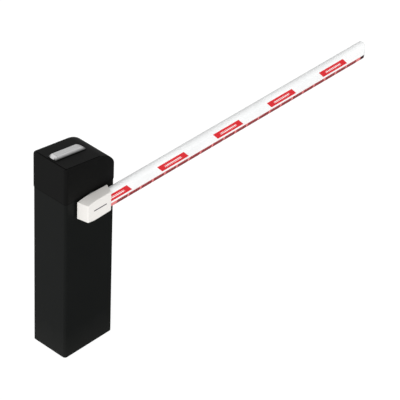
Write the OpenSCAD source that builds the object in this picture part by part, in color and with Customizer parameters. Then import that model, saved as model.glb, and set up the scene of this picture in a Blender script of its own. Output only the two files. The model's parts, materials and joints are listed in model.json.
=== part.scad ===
// Parking barrier gate: sheet-metal cabinet with a sloped hood and top lamp, an
// inner drive with a balance spring, and a boom carried outside on a steel hub.
// The origin is on the ground, at the centre of the anchor holes.
// +X runs along the closed boom, -Y is the boom's side, +Z is up.

/* [Cabinet] */
// Length of the cabinet along the boom
cab_l = 298; // [270:1:400]
// Width of the cabinet across the boom
cab_w = 206; // [200:1:260]
// Radius of the cabinet's upright corners
corner_r = 14; // [8:1:20]
// Thickness of the cabinet's steel sheet
sheet = 2; // [1.5:0.5:3]
// Height of the cabinet shell under the hood
shell_h = 900; // [890:5:940]
// Thickness of the base plate
base_t = 6; // [5:1:12]

/* [Anchors] */
// Distance between the anchor holes along the boom
anchor_x = 220; // [180:5:230]
// Distance between the anchor holes across the boom
anchor_y = 130; // [90:5:140]
// Diameter of the anchor holes
anchor_d = 14; // [10:1:18]
// Diameter of the cable entry in the base plate
entry_d = 60; // [40:5:80]

/* [Hood] */
// Height of the hood's lower rim
hood_z = 861; // [850:1:880]
// Height of the hood's top edge
total_h = 1050; // [1030:5:1120]
// How far the hood stands out past the cabinet
hood_out = 2.5; // [2:0.5:6]
// Wall of the hood
hood_t = 2; // [1.5:0.5:2]
// Slope of the hood's top in degrees
slope = 8.5; // [4:0.5:12]
// Radius of the hood's nose at its low end
nose_r = 110; // [60:5:120]
// Radius along the top's rear edge
rear_r = 20; // [10:1:30]

/* [Lamp] */
// Length of the lamp lens
lens_l = 188; // [140:1:190]
// Width of the lamp lens
lens_w = 48; // [40:1:60]
// Height of the lamp lens above the hood
lens_h = 17; // [12:1:22]

/* [Boom] */
// Height of the boom's pivot above the ground
pivot_z = 808; // [790:1:812]
// Distance from the pivot to the boom's tip
boom_reach = 1773; // [1200:1:2600]
// Height of the boom's section
boom_h = 94; // [76:1:114]
// Depth of the boom's section
boom_d = 45; // [40:1:54]
// Wall of the boom
boom_wall = 2.5; // [2:0.25:4]
// Gap between the cabinet and the boom
boom_gap = 14; // [13:1:24]
// Length of one reflector along the boom
mark_l = 170; // [120:5:200]
// Distance from one reflector to the next
mark_pitch = 361; // [260:1:400]
// Distance from one light segment to the next
light_pitch = 77; // [60:1:100]

/* [Drive] */
// Diameter of the drive shaft
shaft_d = 30; // [24:1:36]
// Thickness of the chassis plates
plate_t = 6; // [5:1:8]
// Distance from the pivot to the spring pin
crank_r = 70; // [60:1:78]
// Outer diameter of the balance spring
spring_d = 40; // [30:1:46]
// Height of the spring's fixed lower end
spring_foot = 380; // [340:5:420]

/* [Door] */
// Width of the door opening
door_w = 240; // [200:5:244]
// Height of the door opening
door_h = 760; // [600:10:770]
// Height of the door opening's lower edge
door_z = 70; // [50:5:90]

/* [Hidden] */
$fn = 48;

// Clearances: a running fit's radial gap, a loose gap, and the gap under a thin skin
fit_gap = 0.06;
hole_gap = 0.3;
skin_gap = 0.05;

// The cabinet's faces
front_y = -cab_w / 2;
in_x = cab_l / 2 - sheet;
in_y = cab_w / 2 - sheet;
in_r = corner_r - sheet;
rear_y = cab_w / 2;

// The hood's outline
hood_l = cab_l + 2 * hood_out;
hood_w = cab_w + 2 * hood_out;
hood_r = corner_r + hood_out;
nose_x = hood_l / 2 - nose_r;
slope_z = total_h - tan(slope) * (nose_x + hood_l / 2);
nose_z = slope_z - nose_r / cos(slope);

// The lamp, along the hood's sloped top
lens_x0 = 17;
slot_w = 30;
tray_h = 12;

// The boom, with its reflectors on the front and its light strip along the bottom
boom_y = front_y - boom_gap - boom_d / 2;
boom_r = boom_d / 2;
boom_x0 = -25;
boom_front = boom_y - boom_d / 2;
boom_back = boom_y + boom_d / 2;
strip_h = 30;
strip_z = pivot_z - boom_h / 2 + strip_h;
cap_t = 4;
mark_x0 = 98;
mark_low = 11;
mark_high = 38;
mark_lean = 34;
mark_t = 0.4;
segment_gap = 11;
segment_t = 0.6;
light_x0 = 101;
light_count = floor((boom_reach - cap_t - light_x0) / light_pitch);
mark_count = 1 + floor((boom_reach - mark_l / 2 - mark_lean - mark_x0) / mark_pitch);

// The hub and the bracket that carry the boom
bracket_t = 4.5;
bracket_y = boom_back + hole_gap;
hub_r = 50;
hub_y = bracket_y + bracket_t;
hub_t = 7;
clamp_x = [8, 48];
stud_r = 5;
nut_h = 3.6;
nut_flats = 16;
tab_x = [-60, -42];
tab_z = -38;
tab_r = 2.5;

// The cover over the bracket: its front face and its back edge
cover_t = 2.4;
cover_front = boom_front - 7;
cover_back = hub_y + 1;
cover_x0 = -77.5;
cover_x1 = 62.5;
cover_left_draft = 0.21;
cover_right_draft = 0.5;
cover_end_h = boom_h / 2 - 2;
cover_full_h = boom_h / 2 + cover_t + 2.4;

// The drive: plates, shaft and gears, from front to rear
shaft_r = shaft_d / 2;
web_y = -in_y;
web_y1 = web_y + plate_t;
rear_plate_y = in_y - 61;
bearing_r = shaft_r + 16;
bearing_w = 16;
boss_r = bearing_r + 8;
tooth_out = 0.85;
backlash = 0.3;
main_m = 3;
main_z = 60;
small_z = 15;
second_m = 2;
second_z = 70;
motor_z = 14;
main_gear_y = [rear_plate_y - 26, rear_plate_y - 10];
second_gear_y = [rear_plate_y - 42, rear_plate_y - 30];
axle_r = 8;
axle_at = polar(main_m * (main_z + small_z) / 2, -70);
motor_at = axle_at + polar(second_m * (second_z + motor_z) / 2, -80);
motor_r = 55;
motor_y1 = second_gear_y[0] - 10;
motor_shaft_r = 7;
spacer_r = 10;
spacer_at = [[118, 70], [-118, 70], [118, -140], [-118, -140]];

// The balance lever and its spring
lever_y = [web_y1 + 50, web_y1 + 70];
lever_mid = (lever_y[0] + lever_y[1]) / 2;
lever_w = 24;
lever_hub_r = shaft_r + 15;
pin_r = 6;
pin_at = polar(crank_r, 135);
spring_wire = 5;
rod_r = 6;
anchor_z = 290;
stop_r = 55;
buffer_l = 12;
buffer_r = 8;
bar_w = 16;
cam_y = [web_y1 + 29, web_y1 + 35];
cam_r = 40;

// The door, its hinges and its lock
door_gap = 1.5;
door_rim = 15;
frame_d = 15;
hinge_x = -door_w / 2 - 1;
hinge_y = rear_y + 4.3;
hinge_r = 4;
hinge_h = 60;
hinge_at = [door_z + 60, door_z + door_h / 2, door_z + door_h - 60];
lock_x = door_w / 2 - 20;
lock_z = door_z + door_h / 2;
lock_r = 9;

// The electronics
panel_y = second_gear_y[1] + 2;
panel_z = [330, 600];
box_x = [-40, 110];
box_z = [400, 590];
box_d = 45;
cable_r = 4;
motor_cable_points = [[53, -50, 564], [53, -50, 550], [53, -46, 538], [53, -36, 530], [53, -20, 528],
    [53, 0, 528], [53, 14, 528]];
lamp_cable_points = [[60, 0, 1004], [64, 6, 990], [90, 40, 975], [118, 66, 950], [130, 72, 900],
    [131, 72, 800], [131, 70, 700], [126, 64, 650], [104, 44, 624], [92, 36, 610], [90, 34, 600], [90, 34, 590]];

function polar(r, a) = [r * cos(a), r * sin(a)];
function at_pivot(p, y) = [p[0], y, pivot_z + p[1]];

// ---- shared shapes ----

// A rounded rectangle made of squares and circles, so that its corners stay true arcs
module plan(l, w, r) {
    square([l - 2 * r, w], center = true);
    square([l, w - 2 * r], center = true);
    for (x = [-1, 1], y = [-1, 1]) translate([x * (l / 2 - r), y * (w / 2 - r)]) circle(r = r);
}

// A round bar from y0 to y1 along Y, centred at x and z
module bar_y(x, z, y0, y1, r) translate([x, y1, z]) rotate([90, 0, 0]) cylinder(h = y1 - y0, r = r);

// A flat shape drawn in x and z, made thick from y0 to y1
module slab_y(y0, y1) translate([0, y1, 0]) rotate([90, 0, 0]) linear_extrude(y1 - y0) children();

module bar_z(x, y, z0, z1, r) translate([x, y, z0]) cylinder(h = z1 - z0, r = r);

// A box from its low corner to its high corner
module block(a, b) translate(a) cube(b - a);

// A hexagon head or nut on the Y axis, of the given width across flats
module hex_y(x, z, y0, y1, flats) translate([x, y1, z]) rotate([90, 0, 0])
    cylinder(h = y1 - y0, r = flats / sqrt(3), $fn = 6);

// A tube swept along a route: rings of points, joined into one closed solid
function unit(v) = v / norm(v);
function ring_axis(p, i) = unit(p[min(i + 1, len(p) - 1)] - p[max(i - 1, 0)]);
function ring_side(t) = unit(cross(t, abs(t[0]) < 0.9 ? [1, 0, 0] : [0, 1, 0]));
module tube_along(p, r, n = 8) {
    points = [for (i = [0 : len(p) - 1]) let (t = ring_axis(p, i), a = ring_side(t), b = cross(t, a))
        for (k = [0 : n - 1]) p[i] + r * (a * cos(360 * k / n) + b * sin(360 * k / n))];
    sides = [for (i = [0 : len(p) - 2], k = [0 : n - 1])
        [i * n + k, i * n + (k + 1) % n, (i + 1) * n + (k + 1) % n, (i + 1) * n + k]];
    ends = [[for (k = [n - 1 : -1 : 0]) k], [for (k = [0 : n - 1]) (len(p) - 1) * n + k]];
    polyhedron(points, concat(ends, sides), convexity = 6);
}

// An involute gear's outline, with a tooth centred on the x axis
function involute(a) = tan(a) * 180 / PI - a;
function flank(m, z, r) = let (base = m * z / 2 * cos(20))
    90 / z - backlash / 4 * 180 / PI / (m * z / 2) + involute(20) - involute(acos(min(1, base / r)));
module gear_outline(m, z) {
    pitch_r = m * z / 2;
    root_r = pitch_r - 1.25 * m;
    tip_r = pitch_r + tooth_out * m;
    start_r = max(root_r + 0.2, pitch_r * cos(20) + 0.01);
    radii = [for (k = [0 : 3]) start_r + (tip_r - start_r) * k / 3];
    rise = [for (r = radii) polar(r, -flank(m, z, r))];
    fall = [for (k = [3 : -1 : 0]) polar(radii[k], flank(m, z, radii[k]))];
    foot = flank(m, z, start_r);
    tooth = concat([polar(root_r, -foot)], rise, fall, [polar(root_r, foot)]);
    polygon([for (i = [0 : z - 1]) for (p = tooth) let (a = 360 * i / z)
        [p[0] * cos(a) - p[1] * sin(a), p[0] * sin(a) + p[1] * cos(a)]]);
}

// ---- cabinet ----

module base_plate() color("#2b2d2c") difference() {
    linear_extrude(base_t) plan(2 * in_x - 2 * skin_gap, 2 * in_y - 2 * skin_gap, in_r);
    for (x = [-1, 1], y = [-1, 1]) bar_z(x * anchor_x / 2, y * anchor_y / 2, -1, base_t + 1, anchor_d / 2);
    bar_z(0, 0, -1, base_t + 1, entry_d / 2);
}

module cabinet_shell() color("#242726") difference() {
    union() {
        difference() {
            linear_extrude(shell_h) plan(cab_l, cab_w, corner_r);
            translate([0, 0, -1]) linear_extrude(shell_h + 2) plan(2 * in_x, 2 * in_y, in_r);
        }
        // The door frame, folded inwards around the opening
        block([-door_w / 2 - sheet, in_y - frame_d, door_z - sheet],
            [door_w / 2 + sheet, in_y + sheet / 2, door_z + door_h + sheet]);
    }
    bar_y(0, pivot_z, front_y - 1, web_y + 1, shaft_r + 7);
    block([-door_w / 2, in_y - frame_d - 1, door_z], [door_w / 2, rear_y + 1, door_z + door_h]);
    for (x = [-1, 1]) bar_y(x * 90, hood_z + 20, in_y - 1, rear_y + 1, 3);
}

module rear_door() color("#242726") difference() {
    block([-door_w / 2 + door_gap, rear_y - door_rim, door_z + door_gap],
        [door_w / 2 - door_gap, rear_y, door_z + door_h - door_gap]);
    block([-door_w / 2 + door_gap + sheet, rear_y - door_rim - 1, door_z + door_gap + sheet],
        [door_w / 2 - door_gap - sheet, rear_y - sheet, door_z + door_h - door_gap - sheet]);
    bar_y(lock_x, lock_z, rear_y - 10, rear_y + 1, lock_r + fit_gap);
}

module door_seal() color("#151515") {
    w = door_w / 2 - door_gap - sheet - 1;
    z0 = door_z + door_gap + sheet + 1;
    z1 = door_z + door_h - door_gap - sheet - 1;
    difference() {
        block([-w, rear_y - sheet - 6, z0], [w, rear_y - sheet, z1]);
        block([-w + 6, rear_y - sheet - 7, z0 + 6], [w - 6, rear_y, z1 - 6]);
    }
}

// One half of each hinge: side is -1 on the cabinet and 1 on the door
module hinge_leaves(side) color("#3a3d3c") for (z = hinge_at) difference() {
    low = side < 0 ? z - hinge_h / 2 : z + hole_gap;
    union() {
        block([side < 0 ? hinge_x - 14 : hinge_x + 5, rear_y, z - hinge_h / 2],
            [side < 0 ? hinge_x - 5 : hinge_x + 25, rear_y + 2, z + hinge_h / 2]);
        block([side < 0 ? hinge_x - 6 : hinge_x, rear_y + 0.5, low],
            [side < 0 ? hinge_x : hinge_x + 6, rear_y + 2, low + hinge_h / 2 - hole_gap]);
        bar_z(hinge_x, hinge_y, low, low + hinge_h / 2 - hole_gap, hinge_r);
    }
    bar_z(hinge_x, hinge_y, z - hinge_h, z + hinge_h, 2 + fit_gap);
}

module cabinet_hinge_leaves() hinge_leaves(-1);
module door_hinge_leaves() hinge_leaves(1);
module hinge_pins() color("silver") for (z = hinge_at) {
    bar_z(hinge_x, hinge_y, z - hinge_h / 2 - 2, z + hinge_h / 2 + 2, 2);
    bar_z(hinge_x, hinge_y, z - hinge_h / 2 - 4, z - hinge_h / 2 - hole_gap, hinge_r);
}

module lock_cylinder() color("silver") difference() {
    union() {
        bar_y(lock_x, lock_z, rear_y + hole_gap, rear_y + 2.5, lock_r + 4);
        bar_y(lock_x, lock_z, rear_y - 22, rear_y + 1, lock_r);
    }
    block([lock_x - 1, rear_y - 6, lock_z - 4], [lock_x + 1, rear_y + 3, lock_z + 4]);
}

module lock_cam() color("#8b8f8e") difference() {
    block([lock_x - 8, rear_y - 21, lock_z - 12], [lock_x + 8, rear_y - 18, lock_z + 34]);
    bar_y(lock_x, lock_z, rear_y - 22, rear_y - 17, lock_r + fit_gap);
}

// ---- hood and lamp ----

// The hood's side outline, in x and z: flat slope, round nose, upright end
module hood_profile(inset) {
    l = hood_l / 2 - inset;
    r = nose_r - inset;
    top = total_h - inset / cos(slope) - tan(slope) * inset;
    polygon([[-l, hood_z], [-l, top], [nose_x + r * sin(slope), nose_z + r * cos(slope)],
        [nose_x, nose_z], [l, nose_z], [l, hood_z]]);
    translate([nose_x, nose_z]) circle(r = r, $fn = 96);
}

// The frame of the sloped top: x runs down the slope from the top edge
module on_slope() translate([-hood_l / 2, 0, total_h]) rotate([0, slope, 0]) children();

module hood_solid(inset, low) intersection() {
    slab_y(-hood_w, hood_w) hood_profile(inset);
    translate([0, 0, low]) linear_extrude(total_h) plan(hood_l - 2 * inset, hood_w - 2 * inset, hood_r - inset);
    on_slope() rotate([90, 0, 90]) translate([0, 0, -hood_l]) linear_extrude(3 * hood_l) {
        translate([-hood_w, -2 * total_h]) square([hood_w * 1.5 - inset - rear_r, 2 * total_h - inset]);
        translate([-hood_w, -2 * total_h]) square([hood_w * 1.5 - inset, 2 * total_h - rear_r]);
        translate([hood_w / 2 - rear_r, -rear_r]) circle(r = rear_r - inset);
    }
}

module hood_shell() color("#232625") difference() {
    hood_solid(0, hood_z);
    hood_solid(hood_t, hood_z - 5);
    on_slope() block([lens_x0 + 8, -slot_w / 2, -hood_t - 2], [lens_x0 + lens_l - 16, slot_w / 2, 2]);
    for (x = [-1, 1]) bar_y(x * 90, hood_z + 20, rear_y - 1, rear_y + hood_out + 1, 3);
}

module hood_screws() color("#4a4d4c") for (x = [-1, 1]) difference() {
    union() {
        bar_y(x * 90, hood_z + 20, rear_y + hood_out + skin_gap, rear_y + hood_out + 3, 5);
        bar_y(x * 90, hood_z + 20, rear_y - 14, rear_y + hood_out + 1, 2.7);
    }
    hex_y(x * 90, hood_z + 20, rear_y + hood_out + 1, rear_y + hood_out + 4, 3);
}

// A block with rounded upright edges that narrows to its top
module lens_body(inset) hull() {
    for (x = [8, lens_l - 8], y = [-1, 1]) translate([lens_x0 + x, y * (lens_w / 2 - 8), 0])
        cylinder(h = 3, r = 8 - inset, $fn = 32);
    for (x = [14, lens_l - 30], y = [-1, 1]) translate([lens_x0 + x, y * (lens_w / 2 - 13), lens_h - 6])
        sphere(r = 6 - inset, $fn = 24);
}

module lamp_lens() color("#d9dadb") on_slope() difference() {
    translate([0, 0, skin_gap]) lens_body(0);
    translate([0, 0, -skin_gap]) lens_body(2);
}

module lamp_tray() color("#b9bcbc") on_slope() difference() {
    block([lens_x0 + 2, -slot_w / 2 - 6, -hood_t - tray_h], [lens_x0 + lens_l - 10, slot_w / 2 + 6, -hood_t]);
    block([lens_x0 + 8, -slot_w / 2, -hood_t - tray_h + 2], [lens_x0 + lens_l - 16, slot_w / 2, -hood_t + 1]);
}

module lamp_board() color("#e8e6dc") on_slope() {
    z = -hood_t - tray_h + 2;
    block([lens_x0 + 10, -slot_w / 2 + 2, z], [lens_x0 + lens_l - 18, slot_w / 2 - 2, z + 2]);
    for (k = [0 : 7]) translate([lens_x0 + 20 + k * (lens_l - 48) / 7, 0, z + 2]) cylinder(h = 2, r = 3);
}

// ---- drive ----

module plate_holes(y0, y1) {
    for (p = spacer_at) bar_y(p[0], pivot_z + p[1], y0, y1, 4 + hole_gap);
    bar_y(axle_at[0], pivot_z + axle_at[1], y0, y1, axle_r + fit_gap);
}

module drive_chassis() color("#7f8584") difference() {
    union() {
        block([-130, web_y, pivot_z - 255], [130, web_y1, pivot_z + 85]);
        bar_y(0, pivot_z, web_y, web_y + bearing_w + 2, boss_r);
    }
    bar_y(0, pivot_z, web_y - 1, web_y + 3, shaft_r + 7);
    bar_y(0, pivot_z, web_y + 2, web_y + 30, bearing_r + fit_gap);
    plate_holes(web_y - 1, web_y1 + 1);
    for (a = [45 : 90 : 315]) bar_y(motor_at[0] + 46 * cos(a), pivot_z + motor_at[1] + 46 * sin(a),
        web_y - 1, web_y1 + 1, 3 + hole_gap);
}

module chassis_spacers() color("silver") for (p = spacer_at) difference() {
    bar_y(p[0], pivot_z + p[1], web_y1, rear_plate_y, spacer_r);
    bar_y(p[0], pivot_z + p[1], web_y1 - 1, rear_plate_y + 1, 4 + hole_gap);
}

module chassis_bolts() color("#8b8f8e") for (p = spacer_at) {
    bar_y(p[0], pivot_z + p[1], web_y + hole_gap, rear_plate_y + plate_t + 1, 4);
    hex_y(p[0], pivot_z + p[1], rear_plate_y + plate_t, rear_plate_y + plate_t + 5.5, 13);
}

module rear_bearing_plate() color("#7f8584") difference() {
    union() {
        block([-130, rear_plate_y, pivot_z - 152], [130, rear_plate_y + plate_t, pivot_z + 85]);
        bar_y(0, pivot_z, rear_plate_y - 6, rear_plate_y + bearing_w - 4, boss_r);
    }
    bar_y(0, pivot_z, rear_plate_y - 5, rear_plate_y + bearing_w, bearing_r + fit_gap);
    bar_y(0, pivot_z, rear_plate_y - 7, rear_plate_y, shaft_r + 7);
    plate_holes(rear_plate_y - 1, rear_plate_y + plate_t + 1);
    bar_y(-80, pivot_z - 60, rear_plate_y - 1, rear_plate_y + plate_t + 1, 5 + fit_gap);
}

// A ball bearing: its two rings and the shield between them as one turned piece
module bearing(y0) difference() {
    bar_y(0, pivot_z, y0, y0 + bearing_w, bearing_r);
    bar_y(0, pivot_z, y0 - 1, y0 + bearing_w + 1, shaft_r + fit_gap);
    for (y = [y0 - 1, y0 + bearing_w - 1]) difference() {
        bar_y(0, pivot_z, y, y + 2, bearing_r - 4);
        bar_y(0, pivot_z, y - 1, y + 3, shaft_r + 4);
    }
}

module front_bearing() color("silver") bearing(web_y + 3);
module rear_bearing() color("silver") bearing(rear_plate_y - 5);

module shaft_seal() color("#151515") difference() {
    bar_y(0, pivot_z, front_y, web_y + 2.5, shaft_r + 7 - skin_gap);
    bar_y(0, pivot_z, front_y - 1, web_y + 4, shaft_r + hole_gap);
}

module drive_shaft() color("silver") difference() {
    bar_y(0, pivot_z, hub_y, rear_plate_y + bearing_w, shaft_r);
    for (y = [lever_y, main_gear_y, [hub_y - 1, hub_y + hub_t]])
        block([-4, y[0], pivot_z + shaft_r - 4], [4, y[1], pivot_z + shaft_r + 1]);
}

// The keyway that a hub shares with the shaft
module key_slot(y0, y1) block([-4, y0 - 1, pivot_z], [4, y1 + 1, pivot_z + shaft_r + 3.5]);

module main_gear() color("#9aa0a0") difference() {
    union() {
        slab_y(main_gear_y[0], main_gear_y[1]) translate([0, pivot_z]) rotate(-70) gear_outline(main_m, main_z);
        bar_y(0, pivot_z, main_gear_y[0], rear_plate_y - 7, shaft_r + 12);
    }
    bar_y(0, pivot_z, main_gear_y[0] - 1, rear_plate_y, shaft_r + fit_gap);
    key_slot(main_gear_y[0], rear_plate_y);
    for (a = [15 : 60 : 330]) bar_y(58 * cos(a), pivot_z + 58 * sin(a), main_gear_y[0] - 1, main_gear_y[1] + 1, 14);
}

module balance_lever() color("#4d5352") difference() {
    union() {
        bar_y(0, pivot_z, lever_y[0] - 3, lever_y[1] + 3, lever_hub_r);
        slab_y(lever_y[0], lever_y[1]) translate([0, pivot_z]) rotate(135) {
            translate([-75, -lever_w / 2]) square([75 + crank_r, lever_w]);
            translate([crank_r, 0]) circle(r = lever_w / 2);
        }
    }
    bar_y(0, pivot_z, lever_y[0] - 4, lever_y[1] + 4, shaft_r + fit_gap);
    key_slot(lever_y[0] - 3, lever_y[1] + 3);
    bar_y(pin_at[0], pivot_z + pin_at[1], lever_y[0] - 1, lever_y[1] + 1, pin_r + fit_gap);
    // The fork that the spring's hook sits in
    block([pin_at[0] - 30, lever_mid - spring_wire / 2 - 1, pivot_z + pin_at[1] - 30],
        [pin_at[0] + pin_r + spring_wire + 2, lever_mid + spring_wire / 2 + 1, pivot_z + pin_at[1] + 30]);
}

module drive_keys() color("#b08d57") for (y = [lever_y, main_gear_y, [hub_y, hub_y + hub_t]])
    block([-4 + fit_gap, y[0] + fit_gap, pivot_z + shaft_r - 4 + fit_gap],
        [4 - fit_gap, y[1] - fit_gap, pivot_z + shaft_r + 3.2]);

module limit_cam() color("#d8d8d0") difference() {
    union() {
        bar_y(0, pivot_z, cam_y[0], cam_y[1], cam_r - 5);
        slab_y(cam_y[0], cam_y[1]) translate([0, pivot_z]) intersection() {
            circle(r = cam_r);
            rotate(-70) square(cam_r * 2);
        }
    }
    bar_y(0, pivot_z, cam_y[0] - 1, cam_y[1] + 1, shaft_r + fit_gap);
}

module limit_switches() color("#202224") for (s = [-1, 1]) {
    block([cam_r + 10, web_y1, pivot_z + s * 24 - 9], [cam_r + 32, cam_y[1] + 4, pivot_z + s * 24 + 9]);
    block([cam_r + 5, cam_y[0] - 2, pivot_z + s * 24 - 3], [cam_r + 10, cam_y[1] + 2, pivot_z + s * 24 + 3]);
}

module spring_pin() color("silver")
    bar_y(pin_at[0], pivot_z + pin_at[1], lever_y[0] - 3, lever_y[1] + 3, pin_r);

// The coils' outer shape as a tube, with the hook above and the plug below
module balance_spring() color("#b8bcbe") {
    coil_top = pivot_z + pin_at[1] - 75;
    difference() {
        translate([pin_at[0], lever_mid, spring_foot]) cylinder(h = coil_top - spring_foot, r = spring_d / 2);
        translate([pin_at[0], lever_mid, spring_foot + 10])
            cylinder(h = coil_top - spring_foot - 20, r = spring_d / 2 - spring_wire);
    }
    slab_y(lever_mid - spring_wire / 2, lever_mid + spring_wire / 2) difference() {
        translate([pin_at[0], pivot_z + pin_at[1]]) {
            circle(r = pin_r + hole_gap + spring_wire);
            translate([-spring_wire / 2, -76]) square([spring_wire, 70]);
        }
        translate([pin_at[0], pivot_z + pin_at[1]]) circle(r = pin_r + hole_gap);
    }
}

module spring_anchor() color("#4d5352") difference() {
    union() {
        block([pin_at[0] - 32, web_y, anchor_z], [pin_at[0] + 32, lever_mid + 22, anchor_z + 8]);
        block([pin_at[0] - 32, web_y, anchor_z], [pin_at[0] + 32, web_y + 6, anchor_z + 90]);
        for (x = [-32, 26]) slab_x(pin_at[0] + x, pin_at[0] + x + 6)
            polygon([[web_y + 5, anchor_z + 7], [lever_mid + 10, anchor_z + 7], [web_y + 5, anchor_z + 85]]);
    }
    bar_z(pin_at[0], lever_mid, anchor_z - 1, anchor_z + 9, rod_r + hole_gap);
}

// A flat shape drawn in y and z, made thick from x0 to x1
module slab_x(x0, x1) translate([x0, 0, 0]) rotate([90, 0, 90]) linear_extrude(x1 - x0) children();

module adjuster_rod() color("silver") {
    bar_z(pin_at[0], lever_mid, anchor_z - 50, spring_foot - 7, rod_r);
    bar_z(pin_at[0], lever_mid, spring_foot - 8, spring_foot, spring_d / 2);
}

module adjuster_nuts() color("#8b8f8e") for (z = [anchor_z - 20, anchor_z - 10, anchor_z + 8])
    translate([pin_at[0], lever_mid, z]) difference() {
        cylinder(h = 10, r = 11, $fn = 6);
        translate([0, 0, -1]) cylinder(h = 12, r = rod_r + fit_gap);
    }

// Places a shape at each end stop, square to the lever's stop arm
module at_stops() for (s = [-1, 1]) translate([0, 0, pivot_z]) mirror([0, 0, s < 0 ? 1 : 0])
    rotate([0, -45, 0]) children();

module stop_brackets() color("#4d5352") at_stops()
    block([stop_r - bar_w / 2, web_y1, lever_w / 2 + hole_gap + buffer_l],
        [stop_r + bar_w / 2, lever_y[1], lever_w / 2 + hole_gap + buffer_l + bar_w]);

module stop_buffers() color("#151515") at_stops()
    translate([stop_r, lever_mid, lever_w / 2 + hole_gap]) cylinder(h = buffer_l, r = buffer_r);

module intermediate_axle() color("silver")
    bar_y(axle_at[0], pivot_z + axle_at[1], web_y, rear_plate_y + plate_t, axle_r);

module axle_sleeve() color("#b08d57") difference() {
    bar_y(axle_at[0], pivot_z + axle_at[1], web_y1, second_gear_y[0] - 2 - hole_gap, axle_r + 4);
    bar_y(axle_at[0], pivot_z + axle_at[1], web_y1 - 1, second_gear_y[0], axle_r + fit_gap);
}

module intermediate_gear() color("#9aa0a0") translate([axle_at[0], 0, pivot_z + axle_at[1]]) difference() {
    union() {
        slab_y(second_gear_y[0], second_gear_y[1]) rotate(-80) gear_outline(second_m, second_z);
        slab_y(second_gear_y[1] - 1, rear_plate_y - 6)
            rotate(-70 + 180 + 180 / small_z) gear_outline(main_m, small_z);
        bar_y(0, 0, second_gear_y[0] - 2, second_gear_y[1], 20);
    }
    bar_y(0, 0, second_gear_y[0] - 3, rear_plate_y, axle_r + fit_gap);
    for (a = [0 : 60 : 300]) bar_y(45 * cos(a), 45 * sin(a), second_gear_y[0] - 1, second_gear_y[1] + 1, 12);
}

module gearmotor_housing() color("#3f4546") translate([motor_at[0], 0, pivot_z + motor_at[1]]) difference() {
    union() {
        bar_y(0, 0, web_y1, motor_y1 - 22, motor_r);
        bar_y(0, 0, motor_y1 - 24, motor_y1, motor_r - 3);
        bar_y(0, 0, motor_y1 - 1, motor_y1 + 4, 20);
    }
    bar_y(0, 0, motor_y1 - 20, motor_y1 + 5, motor_shaft_r + fit_gap);
    for (a = [45 : 90 : 315]) bar_y(46 * cos(a), 46 * sin(a), web_y1 - 1, motor_y1 + 1, 3 + hole_gap);
    // Cooling grooves around the motor
    for (k = [0 : 5]) difference() {
        bar_y(0, 0, web_y1 + 8 + 6 * k, web_y1 + 10 + 6 * k, motor_r + 1);
        bar_y(0, 0, web_y1 + 7 + 6 * k, web_y1 + 11 + 6 * k, motor_r - 2.5);
    }
}

module motor_pinion() color("silver") translate([motor_at[0], 0, pivot_z + motor_at[1]]) {
    bar_y(0, 0, motor_y1 - 19, second_gear_y[1], motor_shaft_r);
    slab_y(second_gear_y[0], second_gear_y[1]) rotate(-80 + 180 + 180 / motor_z) gear_outline(second_m, motor_z);
}

module motor_bolts() color("#8b8f8e") for (a = [45 : 90 : 315]) {
    x = motor_at[0] + 46 * cos(a);
    z = pivot_z + motor_at[1] + 46 * sin(a);
    bar_y(x, z, web_y + hole_gap, motor_y1 + 1, 3);
    hex_y(x, z, motor_y1, motor_y1 + 4, 10);
}

module release_lever() color("#c8402c") difference() {
    union() {
        slab_y(rear_plate_y + plate_t + 2, rear_plate_y + plate_t + 7) translate([-80, pivot_z - 60]) {
            circle(r = 13);
            translate([-8, -70]) square([16, 70]);
        }
        bar_y(-80, pivot_z - 132, rear_plate_y + plate_t + 2, rear_plate_y + plate_t + 26, 11);
    }
    bar_y(-80, pivot_z - 60, rear_plate_y, rear_plate_y + 30, 5 + fit_gap);
}

module release_pivot() color("silver") {
    bar_y(-80, pivot_z - 60, rear_plate_y, rear_plate_y + plate_t + 8, 5);
    bar_y(-80, pivot_z - 60, rear_plate_y + plate_t + 7 + hole_gap, rear_plate_y + plate_t + 10, 8);
    difference() {
        bar_y(-80, pivot_z - 60, rear_plate_y + plate_t, rear_plate_y + plate_t + 2 - hole_gap, 9);
        bar_y(-80, pivot_z - 60, rear_plate_y + plate_t - 1, rear_plate_y + plate_t + 3, 4.9);
    }
}

// ---- electronics ----

module electronics_plate() color("#9ca1a1") difference() {
    union() {
        block([-in_x, panel_y, panel_z[0]], [in_x, panel_y + 2, panel_z[1]]);
        for (s = [-1, 1]) block([s > 0 ? in_x - 2 : -in_x, panel_y + 1, panel_z[0]],
            [s > 0 ? in_x : -in_x + 2, panel_y + 26, panel_z[1]]);
    }
    bar_y(53, 528, panel_y - 1, panel_y + 3, cable_r + 2);
}

module control_enclosure() color("#b9bdbc") difference() {
    block([box_x[0], panel_y + 2, box_z[0]], [box_x[1], panel_y + 2 + box_d, box_z[1]]);
    block([box_x[0] + 3, panel_y + 5, box_z[0] + 3], [box_x[1] - 3, panel_y + 3 + box_d, box_z[1] - 3]);
}

module control_lid() color("#8d9291") difference() {
    union() {
        block([box_x[0], panel_y + 2 + box_d, box_z[0]], [box_x[1], panel_y + 8 + box_d, box_z[1]]);
        for (x = [box_x[0] + 8, box_x[1] - 8], z = [box_z[0] + 8, box_z[1] - 8])
            bar_y(x, z, panel_y + 7 + box_d, panel_y + 9.5 + box_d, 4);
    }
    block([box_x[0] + 30, panel_y + 7 + box_d, box_z[0] + 80], [box_x[1] - 30, panel_y + 9 + box_d, box_z[1] - 40]);
}

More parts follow.
